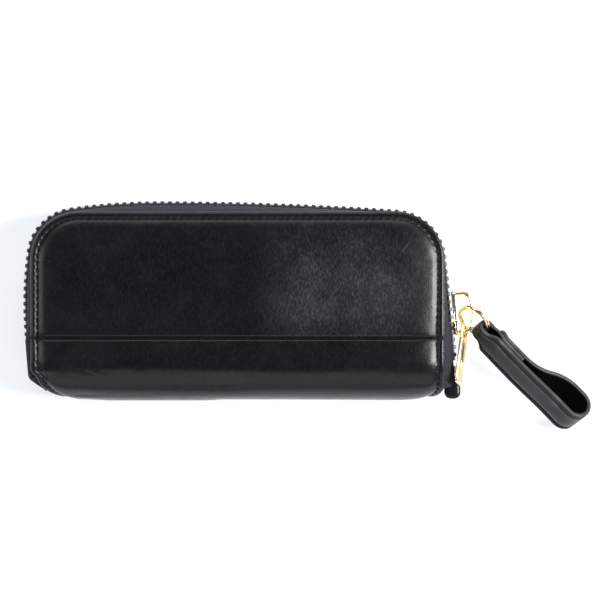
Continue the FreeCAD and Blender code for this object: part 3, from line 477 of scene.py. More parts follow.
def wearAndPaintedLight(edge, seam, mound):
    # rubbed edge wear on the folded rim, lightened further by a painted highlight there and on the shoulder;
    # painted shade in the sewn groove and down in the seam
    rub = bell(edge, *sewnEdge["rim"])
    rub = rub + sewnEdge["shoulderHighlight"] * bell(edge, *sewnEdge["shoulder"]) * ease(seam, *sewnEdge["highlightFrom"])
    # painted shade in the groove and the seam, lifted where the leather swells between stitches
    groove = bell(edge, sewnEdge["stitchLine"], sewnEdge["moundWide"])
    shade = groove + bell(seam, 0.0, sewnEdge["seamDark"]) - mound
    return {name: np.tile(np.clip(values, 0.0, 1.0).ravel(), 2)  # for both sheets of a shell
            for name, values in (("rub", rub), ("shade", shade))}


def mounds(edge, run, whole):
    # the leather swells between two stitches
    spacing = whole / max(int(whole / stitchRun["pitch"]), 1)
    swell = 0.5 - 0.5 * np.cos(2 * math.pi * run / spacing)
    inside = (run > 0.0) & (run < whole)
    return inside * swell * bell(edge, sewnEdge["stitchLine"], sewnEdge["moundWide"])


def pinch(edge, across, seam):
    # the padding thins out towards the seam's right end, which widens the shoulder there
    share = pinched["share"] + pinched["more"] * bell(seam, 0.0, pinched["moreReach"])
    line = sewnEdge["stitchLine"]
    return np.where(edge > line, line + (edge - line) * (1.0 - share * ease(across, *pinched["from"])), edge)


stitchRun = {"pitch": 2.2, "length": 1.5, "width": 0.40, "slant": 0.16, "sink": 0.02, "skip": 4}
paintedSheenPatch = {"centre": (33.0, 5.5), "reach": (22.0, 17.0)}  # patch of the front that is rougher and carries a painted sheen
coverLayout = {
    "nearSeam": 4.0, "sideStep": 0.55, "topStep": 0.55, "cornerSteps": 38, "crown": 0.45, "crownFrom": (3.0, 9.0),
    "ripple": 0.04, "waves": ((0.19, 0.07, 0.0, 1.0), (0.083, -0.16, 1.7, 1.0), (0.31, 0.23, 0.6, 0.6)),
}
settling = {"scale": 10.0, "frames": 14, "most": 0.16, "cloth": {
    "quality": 5, "vertex_group_mass": "held", "tension_stiffness": 40.0, "compression_stiffness": 40.0,
    "bending_stiffness": 15.0, "use_pressure": True, "uniform_pressure_force": 2.0,
}}


def settleLeather(name, points, faces, held):
    # moves of the leather's points as a cloth that is held at its seams and swelled by the padding
    scale = settling["scale"] * mm
    mesh = bpy.data.meshes.new(name)
    first = points[list(faces[0])]
    if np.cross(first[1] - first[0], first[2] - first[0])[2] < 0.0:
        faces = [tuple(reversed(face)) for face in faces]
    mesh.from_pydata((points * scale).tolist(), [], faces)
    sheet = addObject(name, mesh)
    group = sheet.vertex_groups.new(name="held")
    for number, share in enumerate(held):
        if share > 0.0:
            group.add([number], float(share), "REPLACE")
    cloth = sheet.modifiers.new("cloth", "CLOTH")
    for setting, value in settling["cloth"].items():
        setattr(cloth.settings, setting, value)
    cloth.settings.effector_weights.gravity = 0.0
    cloth.collision_settings.use_collision = False
    cloth.point_cache.frame_start = 1
    cloth.point_cache.frame_end = settling["frames"]
    for step in range(1, settling["frames"] + 1):
        bpy.context.scene.frame_set(step)
    done = sheet.evaluated_get(bpy.context.evaluated_depsgraph_get()).data
    after = np.zeros(len(points) * 3, np.float32)
    done.vertices.foreach_get("co", after)
    move = after.reshape(-1, 3) / scale - points
    bpy.data.objects.remove(sheet)
    bpy.data.meshes.remove(mesh)
    bpy.context.scene.frame_set(1)
    reach = np.linalg.norm(move, axis=1)
    print(f"{name} settled, moved {reach.mean():.3f} mm on average and {reach.max():.3f} at most")
    return move * (np.minimum(reach, settling["most"]) / np.maximum(reach, 1e-9))[:, None]


def coverEdge(inset):
    # free edge of a cover moved inwards, from the seam's left end over the top to its right end
    half, top, bend = case["halfLength"], case["topEdge"], case["corner"]
    near = [step for step in seamFold["distance"] if step < coverLayout["nearSeam"]]
    far = np.arange(near[-1] + coverLayout["sideStep"], top - bend - coverLow, coverLayout["sideStep"])
    rows = [coverLow + step for step in [*near, *far]] + [top - bend]
    columns = np.linspace(bend - half, half - bend, int(2 * (half - bend) / coverLayout["topStep"]) + 1)
    turns = np.linspace(0.0, math.pi / 2, coverLayout["cornerSteps"] + 1)[1:-1]
    reach = bend - inset
    left = [(inset - half, row) for row in rows]
    left += [(bend - half - reach * math.cos(turn), top - bend + reach * math.sin(turn)) for turn in turns]
    right = [(-across, height) for across, height in reversed(left)]
    return left + [(column, top - inset) for column in columns] + right, rows, columns


def edgeDistance(across, height):
    half, top, bend = case["halfLength"], case["topEdge"], case["corner"]
    reach = np.abs(across)
    plain = np.minimum(half - reach, top - height)
    inCorner = (reach > half - bend) & (height > top - bend)
    rounded = bend - np.hypot(reach - (half - bend), height - (top - bend))
    return np.clip(np.where(inCorner, rounded, plain), 0.0, None)


def coverPlan():
    # rings along the free edge, then a plain grid inside them, all joined by place
    index = {}
    points = []
    faces = []

    def at(place):
        key = (round(place[0], 3), round(place[1], 3))
        if key not in index:
            index[key] = len(points)
            points.append(place)
        return index[key]

    def lay(rows):
        for one, two in zip(rows, rows[1:]):
            for corners in zip(one, one[1:], two[1:], two):
                face = tuple(dict.fromkeys(corners))
                if len(face) > 2:
                    faces.append(face)

    rings = [[at(place) for place in coverEdge(inset)[0]] for inset in sewnEdge["distance"]]
    lay(rings)
    ring, rows, columns = coverEdge(sewnEdge["distance"][-1])
    lay([[at((column, row)) for column in columns] for row in reversed(rows)])
    gone = lengthAlong(np.array(coverEdge(sewnEdge["stitchLine"])[0]))
    skip = stitchRun["skip"]
    run = np.zeros(len(points))
    for ring in rings:
        run[ring] = gone - gone[skip]
    return np.array(points), faces, run, gone[-1 - skip] - gone[skip]


def crownRise(across, height):
    share = np.clip((height - coverLow) / (case["topEdge"] - coverLow), 0.0, 1.0)
    swell = (4.0 * share * (1.0 - share)) ** 0.75 * (1.0 - (across / case["halfLength"]) ** 6)
    ripple = sum(part * np.sin(across * one + height * two + shift)
                 for one, two, shift, part in coverLayout["waves"])
    return coverLayout["crown"] * swell + coverLayout["ripple"] * ripple * np.clip(swell * 2.0, 0.0, 1.0)


def makeCover(name, front):
    plan, faces, run, whole = coverPlan()
    across, height = plan.T
    edge = edgeDistance(across, height)
    seam = np.clip(height - case["seam"] - case["seamGap"] / 2, 0.0, None)
    mound = mounds(edge, run, whole)
    wearAndLight = wearAndPaintedLight(edge, seam, mound)
    rise = sewnHeight(pinch(edge, across, seam) if front else edge, seam) + mound * sewnEdge["mound"]
    if front:
        rise = rise + crownRise(across, height) * ease(edge, *coverLayout["crownFrom"])
    else:
        rise = np.minimum(rise, case["depth"] - case["borderFace"])  # the back rests flat
    upper, lower = (np.column_stack([plan, case["borderFace"] + level])
                    for level in (rise, recessHeight(edge, seam)))
    if front:
        upper += settleLeather("panelSheet", upper, faces, heldShare(edge, seam))
        # painted sheen: how strongly each point of the front's patch is lightened
        away = np.abs((plan - paintedSheenPatch["centre"]) / paintedSheenPatch["reach"])
        wearAndLight["haze"] = np.tile(np.exp(-away[:, 0] ** 6 - away[:, 1] ** 4), 2)
    else:
        for sheet in (upper, lower):
            sheet[:, 2] = case["depth"] - sheet[:, 2]
    cover = makePiece(name, *closedShell(upper, lower, faces), blackLeather)
    setWearAndLight(cover, wearAndLight)
    return cover


frontPanel = makeCover("frontPanel", True)
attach(frontPanel, "front_cover")
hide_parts("front_panel")
backPanel = makeCover("backPanel", False)
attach(backPanel, "case")
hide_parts("back_panel")
print("covers made:", len(frontPanel.data.polygons), "faces each")


# Spine strip: rows go from the front seam round the spine to the back seam

spineLayout = {"bendSteps": 70, "columnStep": 1.1, "gapRun": 3.0, "swell": 0.12}


def spineLine():
    # stations: length along the strip, Y and Z of the border's face, and its outward direction
    radius = case["borderFace"] - midLevel
    leg = spineLow - case["spineAxis"]
    steps = [step for step in seamFold["distance"] if step < leg] + [leg]
    whole = 2 * leg + math.pi * radius
    rows = [(step, spineLow - step, midLevel + radius, 0.0, 1.0) for step in steps]
    for turn in np.linspace(0.0, math.pi, spineLayout["bendSteps"] + 1)[1:-1]:
        down, out = math.sin(turn), math.cos(turn)
        rows.append((leg + turn * radius, case["spineAxis"] - radius * down, midLevel + radius * out, -down, out))
    rows += [(whole - step, spineLow - step, midLevel - radius, 0.0, -1.0) for step in reversed(steps)]
    return np.array(rows), whole


def spineEnd(height, bend):
    # how far the strip's end draws in at a height along Y
    drop = np.clip(bend - case["topEdge"] - height, 0.0, bend)
    return bend - np.sqrt(np.clip(bend * bend - drop * drop, 0.0, None))


def makeSpine():
    rows, whole = spineLine()
    insets = np.array(sewnEdge["distance"])
    proud = case["depth"] - case["borderFace"]
    outer = rows[:, 1] + rows[:, 3] * proud
    ends = []
    for bend, gap in ((case["spineLeft"], case["cornerGap"]), (case["spineRight"], 0.0)):
        drawn = spineEnd(outer, bend) + gap * ease(bend - case["topEdge"] - outer, 0.0, spineLayout["gapRun"])
        slope = np.sqrt(1.0 + np.gradient(drawn, rows[:, 0]) ** 2)
        ends.append((case["halfLength"] - drawn)[:, None] - insets * slope[:, None])
    upper, lower, edges, seams = [], [], [], []
    middleCount = int((2 * case["halfLength"] - 2 * insets[-1]) / spineLayout["columnStep"])
    for (length, height, level, outY, outZ), left, right in zip(rows, -ends[0], ends[1][:, ::-1]):
        between = np.linspace(left[-1], right[0], middleCount + 1)[1:-1]
        across = np.concatenate([left, between, right])
        edge = np.concatenate([insets, np.full(len(between), insets[-1]), insets[::-1]])
        seam = np.full(len(across), min(length, whole - length))
        rise = sewnHeight(pinch(edge, across, length * pinched["spineStretch"]), seam)
        rise = np.minimum(rise, proud + spineLayout["swell"] * math.sin(math.pi * length / whole))
        for grid, offset in ((upper, rise), (lower, recessHeight(edge, seam))):
            grid.append(np.column_stack([across, height + outY * offset, level + outZ * offset]))
        edges.append(edge)
        seams.append(seam)
    upper, edges, seams = np.array(upper), np.array(edges), np.array(seams)
    mound = np.zeros(edges.shape)
    columns = upper.shape[1]
    skip = stitchRun["skip"]
    line = sewnEdge["distance"].index(sewnEdge["stitchLine"])
    for column, side in ((line, slice(0, len(insets))),
                         (columns - 1 - line, slice(columns - len(insets), columns))):
        gone = lengthAlong(upper[:, column])
        mound[:, side] = mounds(edges[:, side], (gone - gone[skip])[:, None], gone[-1 - skip] - gone[skip])
    upper[:, :, 1:] += mound[:, :, None] * sewnEdge["mound"] * rows[:, None, 3:]
    faces = gridFaces(len(rows), columns)
    sheet = np.vstack(upper)
    sheet = sheet + settleLeather("spineSheet", sheet, faces, heldShare(edges, seams).ravel())
    spine = makePiece("spineStrip", *closedShell(sheet, np.vstack(lower), faces), blackLeather)
    setWearAndLight(spine, wearAndPaintedLight(edges, seams, mound))
    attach(spine, "case")
    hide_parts("spine_strip")
    return upper


spineGrid = makeSpine()
print("spine strip made")


# Rows of beads or teeth along a line

def newTree(name, inputs):
    tree = bpy.data.node_groups.new(name, "GeometryNodeTree")
    graph = Graph(tree)
    graph.sockets = {}
    for label, kind in inputs.items():
        socket = tree.interface.new_socket(label, in_out="INPUT", socket_type=f"NodeSocket{kind}")
        graph.sockets[label] = socket.identifier
    tree.interface.new_socket("Row", in_out="OUTPUT", socket_type="NodeSocketGeometry")
    given = graph.node("NodeGroupInput")
    return graph, given, graph.node("GeometryNodeMeshToCurve", {}, {"Mesh": given})


def closeTree(graph, given, points, piece, turn):
    row = graph.node("GeometryNodeInstanceOnPoints", {}, {"Points": points, "Instance": piece, "Rotation": turn})
    row = graph.node("GeometryNodeRealizeInstances", {}, {"Geometry": row})
    row = graph.node("GeometryNodeSetMaterial", {}, {"Geometry": row, "Material": given.other("Finish")})
    graph.node("NodeGroupOutput", {}, {"Row": row})
    return graph


def makeStitchTree():
    graph, given, line = newTree("runningStitch", {
        "Line": "Geometry", "Pitch": "Float", "Length": "Float", "Width": "Float", "Slant": "Float",
        "Finish": "Material"})
    spaced = graph.node("GeometryNodeResampleCurve", {"mode": "LENGTH"},
                        {"Curve": line, "Length": given.other("Pitch")})
    tangent = graph.node("GeometryNodeInputTangent")
    turn = graph.node("FunctionNodeAlignRotationToVector", {"axis": "X"}, {"Vector": tangent})
    slant = graph.node("ShaderNodeCombineXYZ", {}, {"Z": given.other("Slant")})
    turn = graph.node("FunctionNodeRotateRotation", {"rotation_space": "LOCAL"},
                      {"Rotation": turn, "Rotate By": slant})
    bead = graph.node("GeometryNodeMeshUVSphere", {}, {"Segments": 8, "Rings": 6, "Radius": 0.5})
    bead = graph.node("GeometryNodeSetShadeSmooth", {}, {"Geometry": bead})
    width = given.other("Width")
    shape = graph.node("ShaderNodeCombineXYZ", {}, {"X": given.other("Length"), "Y": width, "Z": width})
    bead = graph.node("GeometryNodeTransform", {}, {"Geometry": bead, "Scale": shape})
    return closeTree(graph, given, spaced, bead, turn)


def makeRow(name, lines, graph, values):
    points = []
    edges = []
    for line in lines:
        first = len(points)
        points += [tuple(float(part) * mm for part in point) for point in line]
        edges += [(number, number + 1) for number in range(first, len(points) - 1)]
    mesh = bpy.data.meshes.new(name)
    mesh.from_pydata(points, edges, [])
    piece = addObject(name, mesh)
    modifier = piece.modifiers.new("row", "NODES")
    modifier.node_group = graph.tree
    for socket, value in values.items():
        modifier[graph.sockets[socket]] = value
    applyModifiers(piece)
    return piece


stitchTree = makeStitchTree()


def makeStitches(name, lines, body, run=stitchRun):
    piece = makeRow(name, lines, stitchTree, {
        "Pitch": run["pitch"] * mm, "Length": run["length"] * mm, "Width": run["width"] * mm,
        "Slant": run["slant"], "Finish": blackThread})
    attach(piece, body)


def coverStitchLine(front):
    inset = sewnEdge["stitchLine"]
    plan = np.array(coverEdge(inset)[0])[stitchRun["skip"]:-stitchRun["skip"]]
    level = case["borderFace"] + np.interp(inset, sewnEdge["distance"], sewnEdge["height"]) + stitchRun["sink"]
    return np.column_stack([plan, np.full(len(plan), level if front else case["depth"] - level)])


def spineStitchLines():
    column = sewnEdge["distance"].index(sewnEdge["stitchLine"])
    lines = []
    for place in (column, spineGrid.shape[1] - 1 - column):
        line = spineGrid[stitchRun["skip"]:-stitchRun["skip"], place, :].copy()
        outward = line[:, 1:] - np.array([case["spineAxis"], midLevel])
        outward[line[:, 1] > case["spineAxis"], 0] = 0.0
        line[:, 1:] += outward / np.linalg.norm(outward, axis=1)[:, None] * stitchRun["sink"]
        lines.append(line)
    return lines


makeStitches("frontStitches", [coverStitchLine(True)], "front_cover")
makeStitches("backStitches", [coverStitchLine(False)], "case")
makeStitches("spineStitches", spineStitchLines(), "case")
print("border stitches made")


# Zipper: the middle line of the chain goes from its right end over the top to its left end

chainShape = {
    "apex": 25.0, "rise": 1.9, "rightRun": 74.5, "rightArc": 1080.0, "rightCorner": 15.3, "splay": 5.7,
    "sideRun": 39.5, "leftRun": 27.0, "leftArc": 185.0, "leftCorner": 14.5, "leftBulge": 120.0,
    "leftLean": 7.6, "leftSide": 38.0,
}


class Stretch:  # a line or an arc in plan; a positive radius turns left
    def __init__(self, start, angle, length, radius=None):
        self.start = np.array(start, float)
        self.angle = angle
        self.length = length
        self.radius = radius

    def heading(self, distance):
        return self.angle if self.radius is None else self.angle + distance / self.radius

    def at(self, distance):
        if self.radius is None:
            return self.start + distance * np.array([math.cos(self.angle), math.sin(self.angle)])
        after = self.heading(distance)
        return self.start + self.radius * np.array([math.sin(after) - math.sin(self.angle),
                                                    math.cos(self.angle) - math.cos(after)])


def layOut(start, angle, moves):
    stretches = []
    for length, radius in moves:
        stretch = Stretch(start, angle, length, radius)
        stretches.append(stretch)
        start = stretch.at(length)
        angle = stretch.heading(length)
    return stretches


def chainLine(shape):
    slope = math.radians(shape["splay"])
    lean = math.radians(shape["leftLean"])
    rightTurn = math.pi / 2 - slope - shape["rightRun"] / shape["rightArc"]
    leftTurn = math.pi / 2 - lean - shape["leftRun"] / shape["leftArc"]
    right = [(shape["rightRun"], -shape["rightArc"]), (rightTurn * shape["rightCorner"], -shape["rightCorner"]),
             (shape["sideRun"], None)]
    last = layOut((-shape["apex"], case["topEdge"] + shape["rise"]), 0.0, right)[-1]
    up = [(length, radius and -radius) for length, radius in reversed(right)]
    left = [(shape["leftRun"], shape["leftArc"]), (leftTurn * shape["leftCorner"], shape["leftCorner"]),
            (shape["leftSide"], shape["leftBulge"])]
    return layOut(last.at(last.length), last.angle + math.pi, up + left)


chain = chainLine(chainShape)
chainLength = sum(stretch.length for stretch in chain)


def alongChain(distance):
    for stretch in chain:
        if distance <= stretch.length:
            break
        distance -= stretch.length
    return stretch.at(distance)


tapeShape = {
    "inset": 0.9, "margin": 3.6, "thickness": 0.56, "stand": 2.65, "upright": 1.6, "fold": 22.5, "step": 0.8,
    "belly": 0.25, "puff": 1.35, "puffRun": (0.5, 0.75), "clear": 0.4,
    "across": (0.12, 0.25, 0.4, 0.55, 0.7, 0.82, 0.92), "turnedIn": (0.0, 0.15, 0.5, 1.0),
}


def tapeEdgeLine():
    side, top, bend = (case[name] - tapeShape["inset"] for name in ("halfLength", "topEdge", "corner"))
    lowRight = chain[0].start[1]
    lowLeft = chain[-1].at(chain[-1].length)[1]
    apex = chainShape["apex"]
    corner = math.pi / 2 * bend
    moves = [(top - bend - lowRight, None), (corner, bend), (side - bend + apex, None),
             (side - bend - apex, None), (corner, bend), (top - bend - lowLeft, None)]
    return layOut((side, lowRight), math.pi / 2, moves)


def tallInside(height, radius):
    # half the room inside the spine's bend at a place along Y
    drop = max(case["spineAxis"] - height, 0.0)
    return math.sqrt(max(radius * radius - drop * drop, 0.0))


def tapeRows():
    shape = tapeShape
    grip = midLevel + shape["stand"]
    bend = grip + shape["upright"]
    room = case["borderFace"] - midLevel - case["leather"] - shape["clear"]
    rows, flat = [], []
    gone = 0.0
    for one, two in zip(chain, tapeEdgeLine()):
        steps = max(int(one.length / shape["step"]), 4)
        for step in range(steps + (one is chain[-1])):
            share = step / steps
            toothed = one.at(one.length * share)
            folded = two.at(two.length * share)
            heading = two.heading(two.length * share)
            inward = np.array([-math.sin(heading), math.cos(heading)])
            sewn = folded + inward * shape["margin"]
            roof, roofIn = (min(shape["fold"], midLevel + tallInside(spot[1], room)) for spot in (folded, sewn))
            start = min(bend, roof)
            loose = shape["puff"] * float(ease(share, *shape["puffRun"])) if one is chain[-1] else 0.0
            points = [np.append(toothed, level) for level in (grip, (grip + bend) / 2, start)]
            for part in shape["across"]:
                belly = (shape["belly"] + loose) * math.sin(math.pi * part)
                place = toothed - (toothed - folded) * part - inward * belly
                points.append(np.append(place, start + (roof - start) * part))
            for part in shape["turnedIn"]:
                place = folded + inward * shape["margin"] * part
                points.append(np.append(place, roof + (roofIn - roof) * part))
            rows.append(points)
            flat.append([(gone + one.length * share, width) for width in lengthAlong(points)])
        gone += one.length
    return np.array(rows), np.array(flat)


def makeTape(name, front):
    rows, flat = tapeRows()
    if not front:
        rows[:, :, 2] = case["depth"] - rows[:, :, 2]
    tape = makePiece(name, rows.reshape(-1, 3), gridFaces(*rows.shape[:2]), zipperTape, flat.reshape(-1, 2))
    thicken(tape, tapeShape["thickness"], even=True)
    return tape


frontTape = makeTape("frontTape", True)
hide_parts("front_tape", "front_tape_left_end", "front_tape_right_end")
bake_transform(frontTape)
backTape = makeTape("backTape", False)
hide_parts("back_tape")
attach(backTape, "case")
print("tapes made")


# Gussets: cloth that closes the spine's ends below the tapes and is turned in under the leather

gussetShape = {
    "radius": 9.9, "inside": 0.35, "margin": 3.0, "overlap": 1.4, "tuck": 1.9, "tuckFrom": 0.35, "flatFrom": 0.3,
    "foot": 0.3, "steps": 16, "levels": 18,
}


def makeGusset(name, side, bend, tapeEnd, puff):
    shape = gussetShape
    edge = case["halfLength"] - shape["inside"]
    centre = bend - case["topEdge"]
    bend = bend - shape["inside"]
    first = tapeEnd[1] + shape["overlap"]
    last = case["spineAxis"] - shape["radius"] + shape["foot"]
    lean = side * tapeEnd[0] - edge
    grip = tapeShape["stand"] + tapeShape["upright"]
    points, flat = [], []
    for share in np.linspace(0.0, 1.0, shape["steps"] + 1):
        height = first + (last - first) * share
        turn = math.asin(max(centre - height, 0.0) / bend)
        wall = edge - bend * (1.0 - math.cos(turn)) - shape["tuck"] * float(ease(share, shape["tuckFrom"], 1.0))
        inner = wall - math.cos(turn) * shape["margin"], height + math.sin(turn) * shape["margin"]
        tall = tallInside(height, shape["radius"])
        tallInner = tallInside(inner[1], shape["radius"])
        row = [(*inner, -tallInner)]
        for level in np.linspace(-tall, tall, shape["levels"] + 1):
            part = float(np.clip((tall - abs(level)) / max(tall - grip, 0.5), 0.0, 1.0))
            out = lean * part + puff * math.sin(math.pi * part)
            row.append((wall + out * (1.0 - float(ease(share, shape["flatFrom"], 1.0))), height, level))
        row.append((*inner, tallInner))
        points += [(side * across, along, midLevel + level) for across, along, level in row]
        flat += [(share * (first - last), level) for across, along, level in row]
    gusset = makePiece(name, points, gridFaces(shape["steps"] + 1, shape["levels"] + 3), zipperTape, flat)
    thicken(gusset, tapeShape["thickness"])
    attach(gusset, "case")


makeGusset("leftGusset", -1, case["spineLeft"], chain[-1].at(chain[-1].length), tapeShape["puff"])
makeGusset("rightGusset", 1, case["spineRight"], chain[0].start, 0.0)
print("gussets made")


toothShape = {
    "pitch": 2.35, "width": 1.36, "length": 3.4, "frontDeep": 1.5, "backDeep": 1.1, "head": 0.65, "taper": 0.7,
    "neck": 0.5, "slot": 1.5, "slotHalf": 0.35, "round": 0.3, "crown": (0.7, 0.96), "flat": 0.7, "sharp": 50,
    "closedGap": 0.08, "openGap": 0.7, "openRun": 28.0, "closeRun": 7.0, "stopPlace": 4.6, "stopLength": 2.4,
    "lineSteps": 12,
}


def makeTooth(name, side, deep):
    # X out of the chain, Y along it, Z from the head to the legs astride the tape
    shape = toothShape
    cut = shape["round"]
    outer = [(shape["head"], 0.0), (deep - cut * 0.4, shape["taper"]), (deep, shape["taper"] + shape["neck"]),
             (deep, shape["length"] - cut), (deep - cut, shape["length"]), (shape["slotHalf"], shape["length"]),
             (shape["slotHalf"], shape["length"] - shape["slot"])]
    profile = outer + [(-across, level) for across, level in reversed(outer)]
    half = shape["width"] / 2
    low, high = shape["crown"]
    sections = []
    for along, crown in ((-half, low), (-half * shape["flat"], high), (half * shape["flat"], high), (half, low)):
        sections.append([(across * (crown if abs(across) > shape["slotHalf"] else 1.0), along, level * side)
                         for across, level in profile])
    return makePiece(name, *sweep(sections), toothEnamel, sharp=shape["sharp"])


def makeRowTree():
    graph, given, line = newTree("zipperRow", {
        "Chain": "Geometry", "Tooth": "Object", "Count": "Int", "First": "Float", "Pitch": "Float",
        "Open gap": "Float", "Closed gap": "Float", "Open run": "Float", "Close run": "Float", "Side": "Float",
        "Finish": "Material"})
    spaced = graph.node("GeometryNodeResampleCurve", {"mode": "COUNT"},
                        {"Curve": line, "Count": given.other("Count")})
    gone = graph.node("GeometryNodeInputIndex") * given.other("Pitch") + given.other("First")
    share = (gone - given.other("Open run")) / given.other("Close run")
    gap = graph.span(share, 0.0, 1.0, given.other("Open gap"), given.other("Closed gap"))
    lift = graph.node("ShaderNodeCombineXYZ", {}, {"Z": gap * given.other("Side")})
    tangent = graph.node("GeometryNodeInputTangent")
    turn = graph.node("FunctionNodeAxesToRotation", {"primary_axis": "Y", "secondary_axis": "Z"},
                      {0: tangent, 1: (0.0, 0.0, 1.0)})
    tooth = graph.node("GeometryNodeObjectInfo", {}, {"Object": given.other("Tooth")}, "Geometry")
    lifted = graph.node("GeometryNodeSetPosition", {}, {"Geometry": spaced, "Offset": lift})
    return closeTree(graph, given, lifted, tooth, turn)


rowTree = makeRowTree()


def makeTeeth(name, distances, tooth, side, body, nodes):
    shape = toothShape
    fine = np.linspace(distances[0], distances[-1], max((len(distances) - 1) * shape["lineSteps"] + 1, 2))
    line = [np.append(alongChain(distance), midLevel) for distance in fine]
    piece = makeRow(name, [line], rowTree, {
        "Tooth": tooth, "Count": len(distances), "First": distances[0], "Pitch": shape["pitch"],
        "Open gap": shape["openGap"] * mm, "Closed gap": shape["closedGap"] * mm,
        "Open run": shape["openRun"], "Close run": shape["closeRun"], "Side": float(side), "Finish": toothEnamel})
    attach(piece, body)
    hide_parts(*nodes)


def rowPlaces(stagger):
    first = toothShape["stopPlace"] + toothShape["stopLength"] / 2 + toothShape["pitch"]
    last = chainLength - toothShape["stopLength"] - toothShape["pitch"]
    count = int((last - first) / toothShape["pitch"]) + 1
    return [first + (number + stagger) * toothShape["pitch"] for number in range(count)]


frontTooth = makeTooth("frontTooth", 1, toothShape["frontDeep"])
backTooth = makeTooth("backTooth", -1, toothShape["backDeep"])
frontPlaces = rowPlaces(0.5)
aboveSeam = [place for place in frontPlaces if alongChain(place)[1] > case["seam"]]
rightEnd = [place for place in frontPlaces if place < aboveSeam[0]]
leftEnd = [place for place in frontPlaces if place > aboveSeam[-1]]
makeTeeth("frontTeeth", aboveSeam, frontTooth, 1, "front_cover", ["front_teeth"])
makeTeeth("frontTeethRightEnd", rightEnd, frontTooth, 1, "case", ["front_teeth_right_end"])
makeTeeth("frontTeethLeftEnd", leftEnd, frontTooth, 1, "case", ["front_teeth_left_end"])
makeTeeth("backTeeth", rowPlaces(0.0), backTooth, -1, "case", ["back_teeth"])
for tooth in (frontTooth, backTooth):
    bpy.data.objects.remove(tooth)
print("teeth made:", len(frontPlaces), "in the front row")


# Metal pieces: rounded plates and swept bars, set in their own frames

def setIn(points, origin, first, second, third):
    axes = np.array([first, second, third], float)
    return np.array(origin, float) + np.array(points, float) @ axes


def roundedOutline(corners, radius, steps=6):
    # corners in order, each rounded with an arc that touches both sides
    count = len(corners)
    outline = []
    for number in range(count):
        before = np.array(corners[number - 1], float)
        corner = np.array(corners[number], float)
        after = np.array(corners[(number + 1) % count], float)
        one = (before - corner) / np.linalg.norm(before - corner)
        two = (after - corner) / np.linalg.norm(after - corner)
        half = math.acos(np.clip(one @ two, -1.0, 1.0)) / 2
        back = radius / math.tan(half)
        centre = corner + (one + two) / np.linalg.norm(one + two) * radius / math.sin(half)
        start = corner + one * back - centre
        end = corner + two * back - centre
        angle = math.atan2(start[0] * end[1] - start[1] * end[0], start @ end)
        for step in range(steps + 1):
            turn = angle * step / steps
            outline.append(centre + np.array([start[0] * math.cos(turn) - start[1] * math.sin(turn),
                                              start[0] * math.sin(turn) + start[1] * math.cos(turn)]))
    return outline


def plateShell(outline, low, high, hole=None):
    # an upright wall round the outline, closed above and below; a hole needs an outline of as many points
    count = len(outline)
    points = [np.append(spot, level) for level in (low, high) for spot in outline]
    faces = [(one, (one + 1) % count, (one + 1) % count + count, one + count) for one in range(count)]
    if hole is None:
        faces += [tuple(reversed(range(count))), tuple(range(count, 2 * count))]
        return points, faces
    start = 2 * count
    points += [np.append(spot, level) for level in (low, high) for spot in hole]
    for one in range(count):
        two = (one + 1) % count
        faces.append((start + two, start + one, start + one + count, start + two + count))
        faces.append((two, one, start + one, start + two))
        faces.append((one + count, two + count, start + two + count, start + one + count))
    return points, faces


def joinShells(shells):
    points = []
    faces = []
    for more, sides in shells:
        faces += [tuple(corner + len(points) for corner in side) for side in sides]
        points += [tuple(spot) for spot in more]
    return points, faces


def rectangle(half, low, high):
    return [(-half, low), (half, low), (half, high), (-half, high)]


def softenEdges(piece, width, segments=3, angle=35.0, sharp=60):
    bevel = piece.modifiers.new("round", "BEVEL")
    bevel.width = width * mm
    bevel.segments = segments
    bevel.limit_method = "ANGLE"
    bevel.angle_limit = math.radians(angle)
    bevel.harden_normals = False
    applyModifiers(piece)
    shadeSmooth(piece.data, sharp)


sliderShape = {
    "origin": (65.329, -2.427, 12.5), "outward": (0.99506, 0.09932, 0.0), "along": (-0.09932, 0.99506, 0.0),
    "half": 7.0, "wide": 4.6, "waist": 3.8, "corner": 1.5, "inner": 1.75, "outer": 2.85, "edgeRound": 0.22,
    "sharp": 40, "softFrom": 50.0, "flange": 0.7, "flangeEnd": 0.5, "flangeDepth": 0.2, "flangeInset": 0.4,
    "flangeRound": 0.12, "flangeRoot": 0.15,
    "wedge": (-6.8, -2.6), "wedgeHalf": 0.5, "wedgeRound": 0.15, "wedgeRoot": 0.3,
    "bridgeHalf": 5.9, "bridgeFoot": 2.45, "bridgeSide": 6.45, "bridgeTop": 7.65, "bridgeThick": 1.2,
    "bridgeWide": 1.5, "bridgeBend": 1.3, "bridgeRound": 0.5, "archSteps": 25, "bendSteps": 8, "archGap": 0.2,
}


def bridgeLine():
    shape = sliderShape
    bend = shape["bridgeBend"]
    arch = []
    for share in np.linspace(-1.0, 1.0, shape["archSteps"]):
        arch.append((shape["bridgeTop"] - (shape["bridgeTop"] - shape["bridgeSide"]) * share * share,
                     shape["bridgeHalf"] * share))
    corner = np.array(arch[0])
    along = np.array(arch[1]) - corner
    start = corner - np.array((bend, 0.0))
    finish = corner + along / np.linalg.norm(along) * bend
    turn = [(1 - part) ** 2 * start + 2 * part * (1 - part) * corner + part * part * finish
            for part in np.linspace(0.0, 1.0, shape["bendSteps"])]
    middle = [spot for spot in arch if abs(spot[1]) < abs(finish[1]) - shape["archGap"]]
    half = [(shape["bridgeFoot"], -shape["bridgeHalf"])] + [tuple(spot) for spot in turn]
    return np.array(half + middle + [(across, -height) for across, height in reversed(half)])


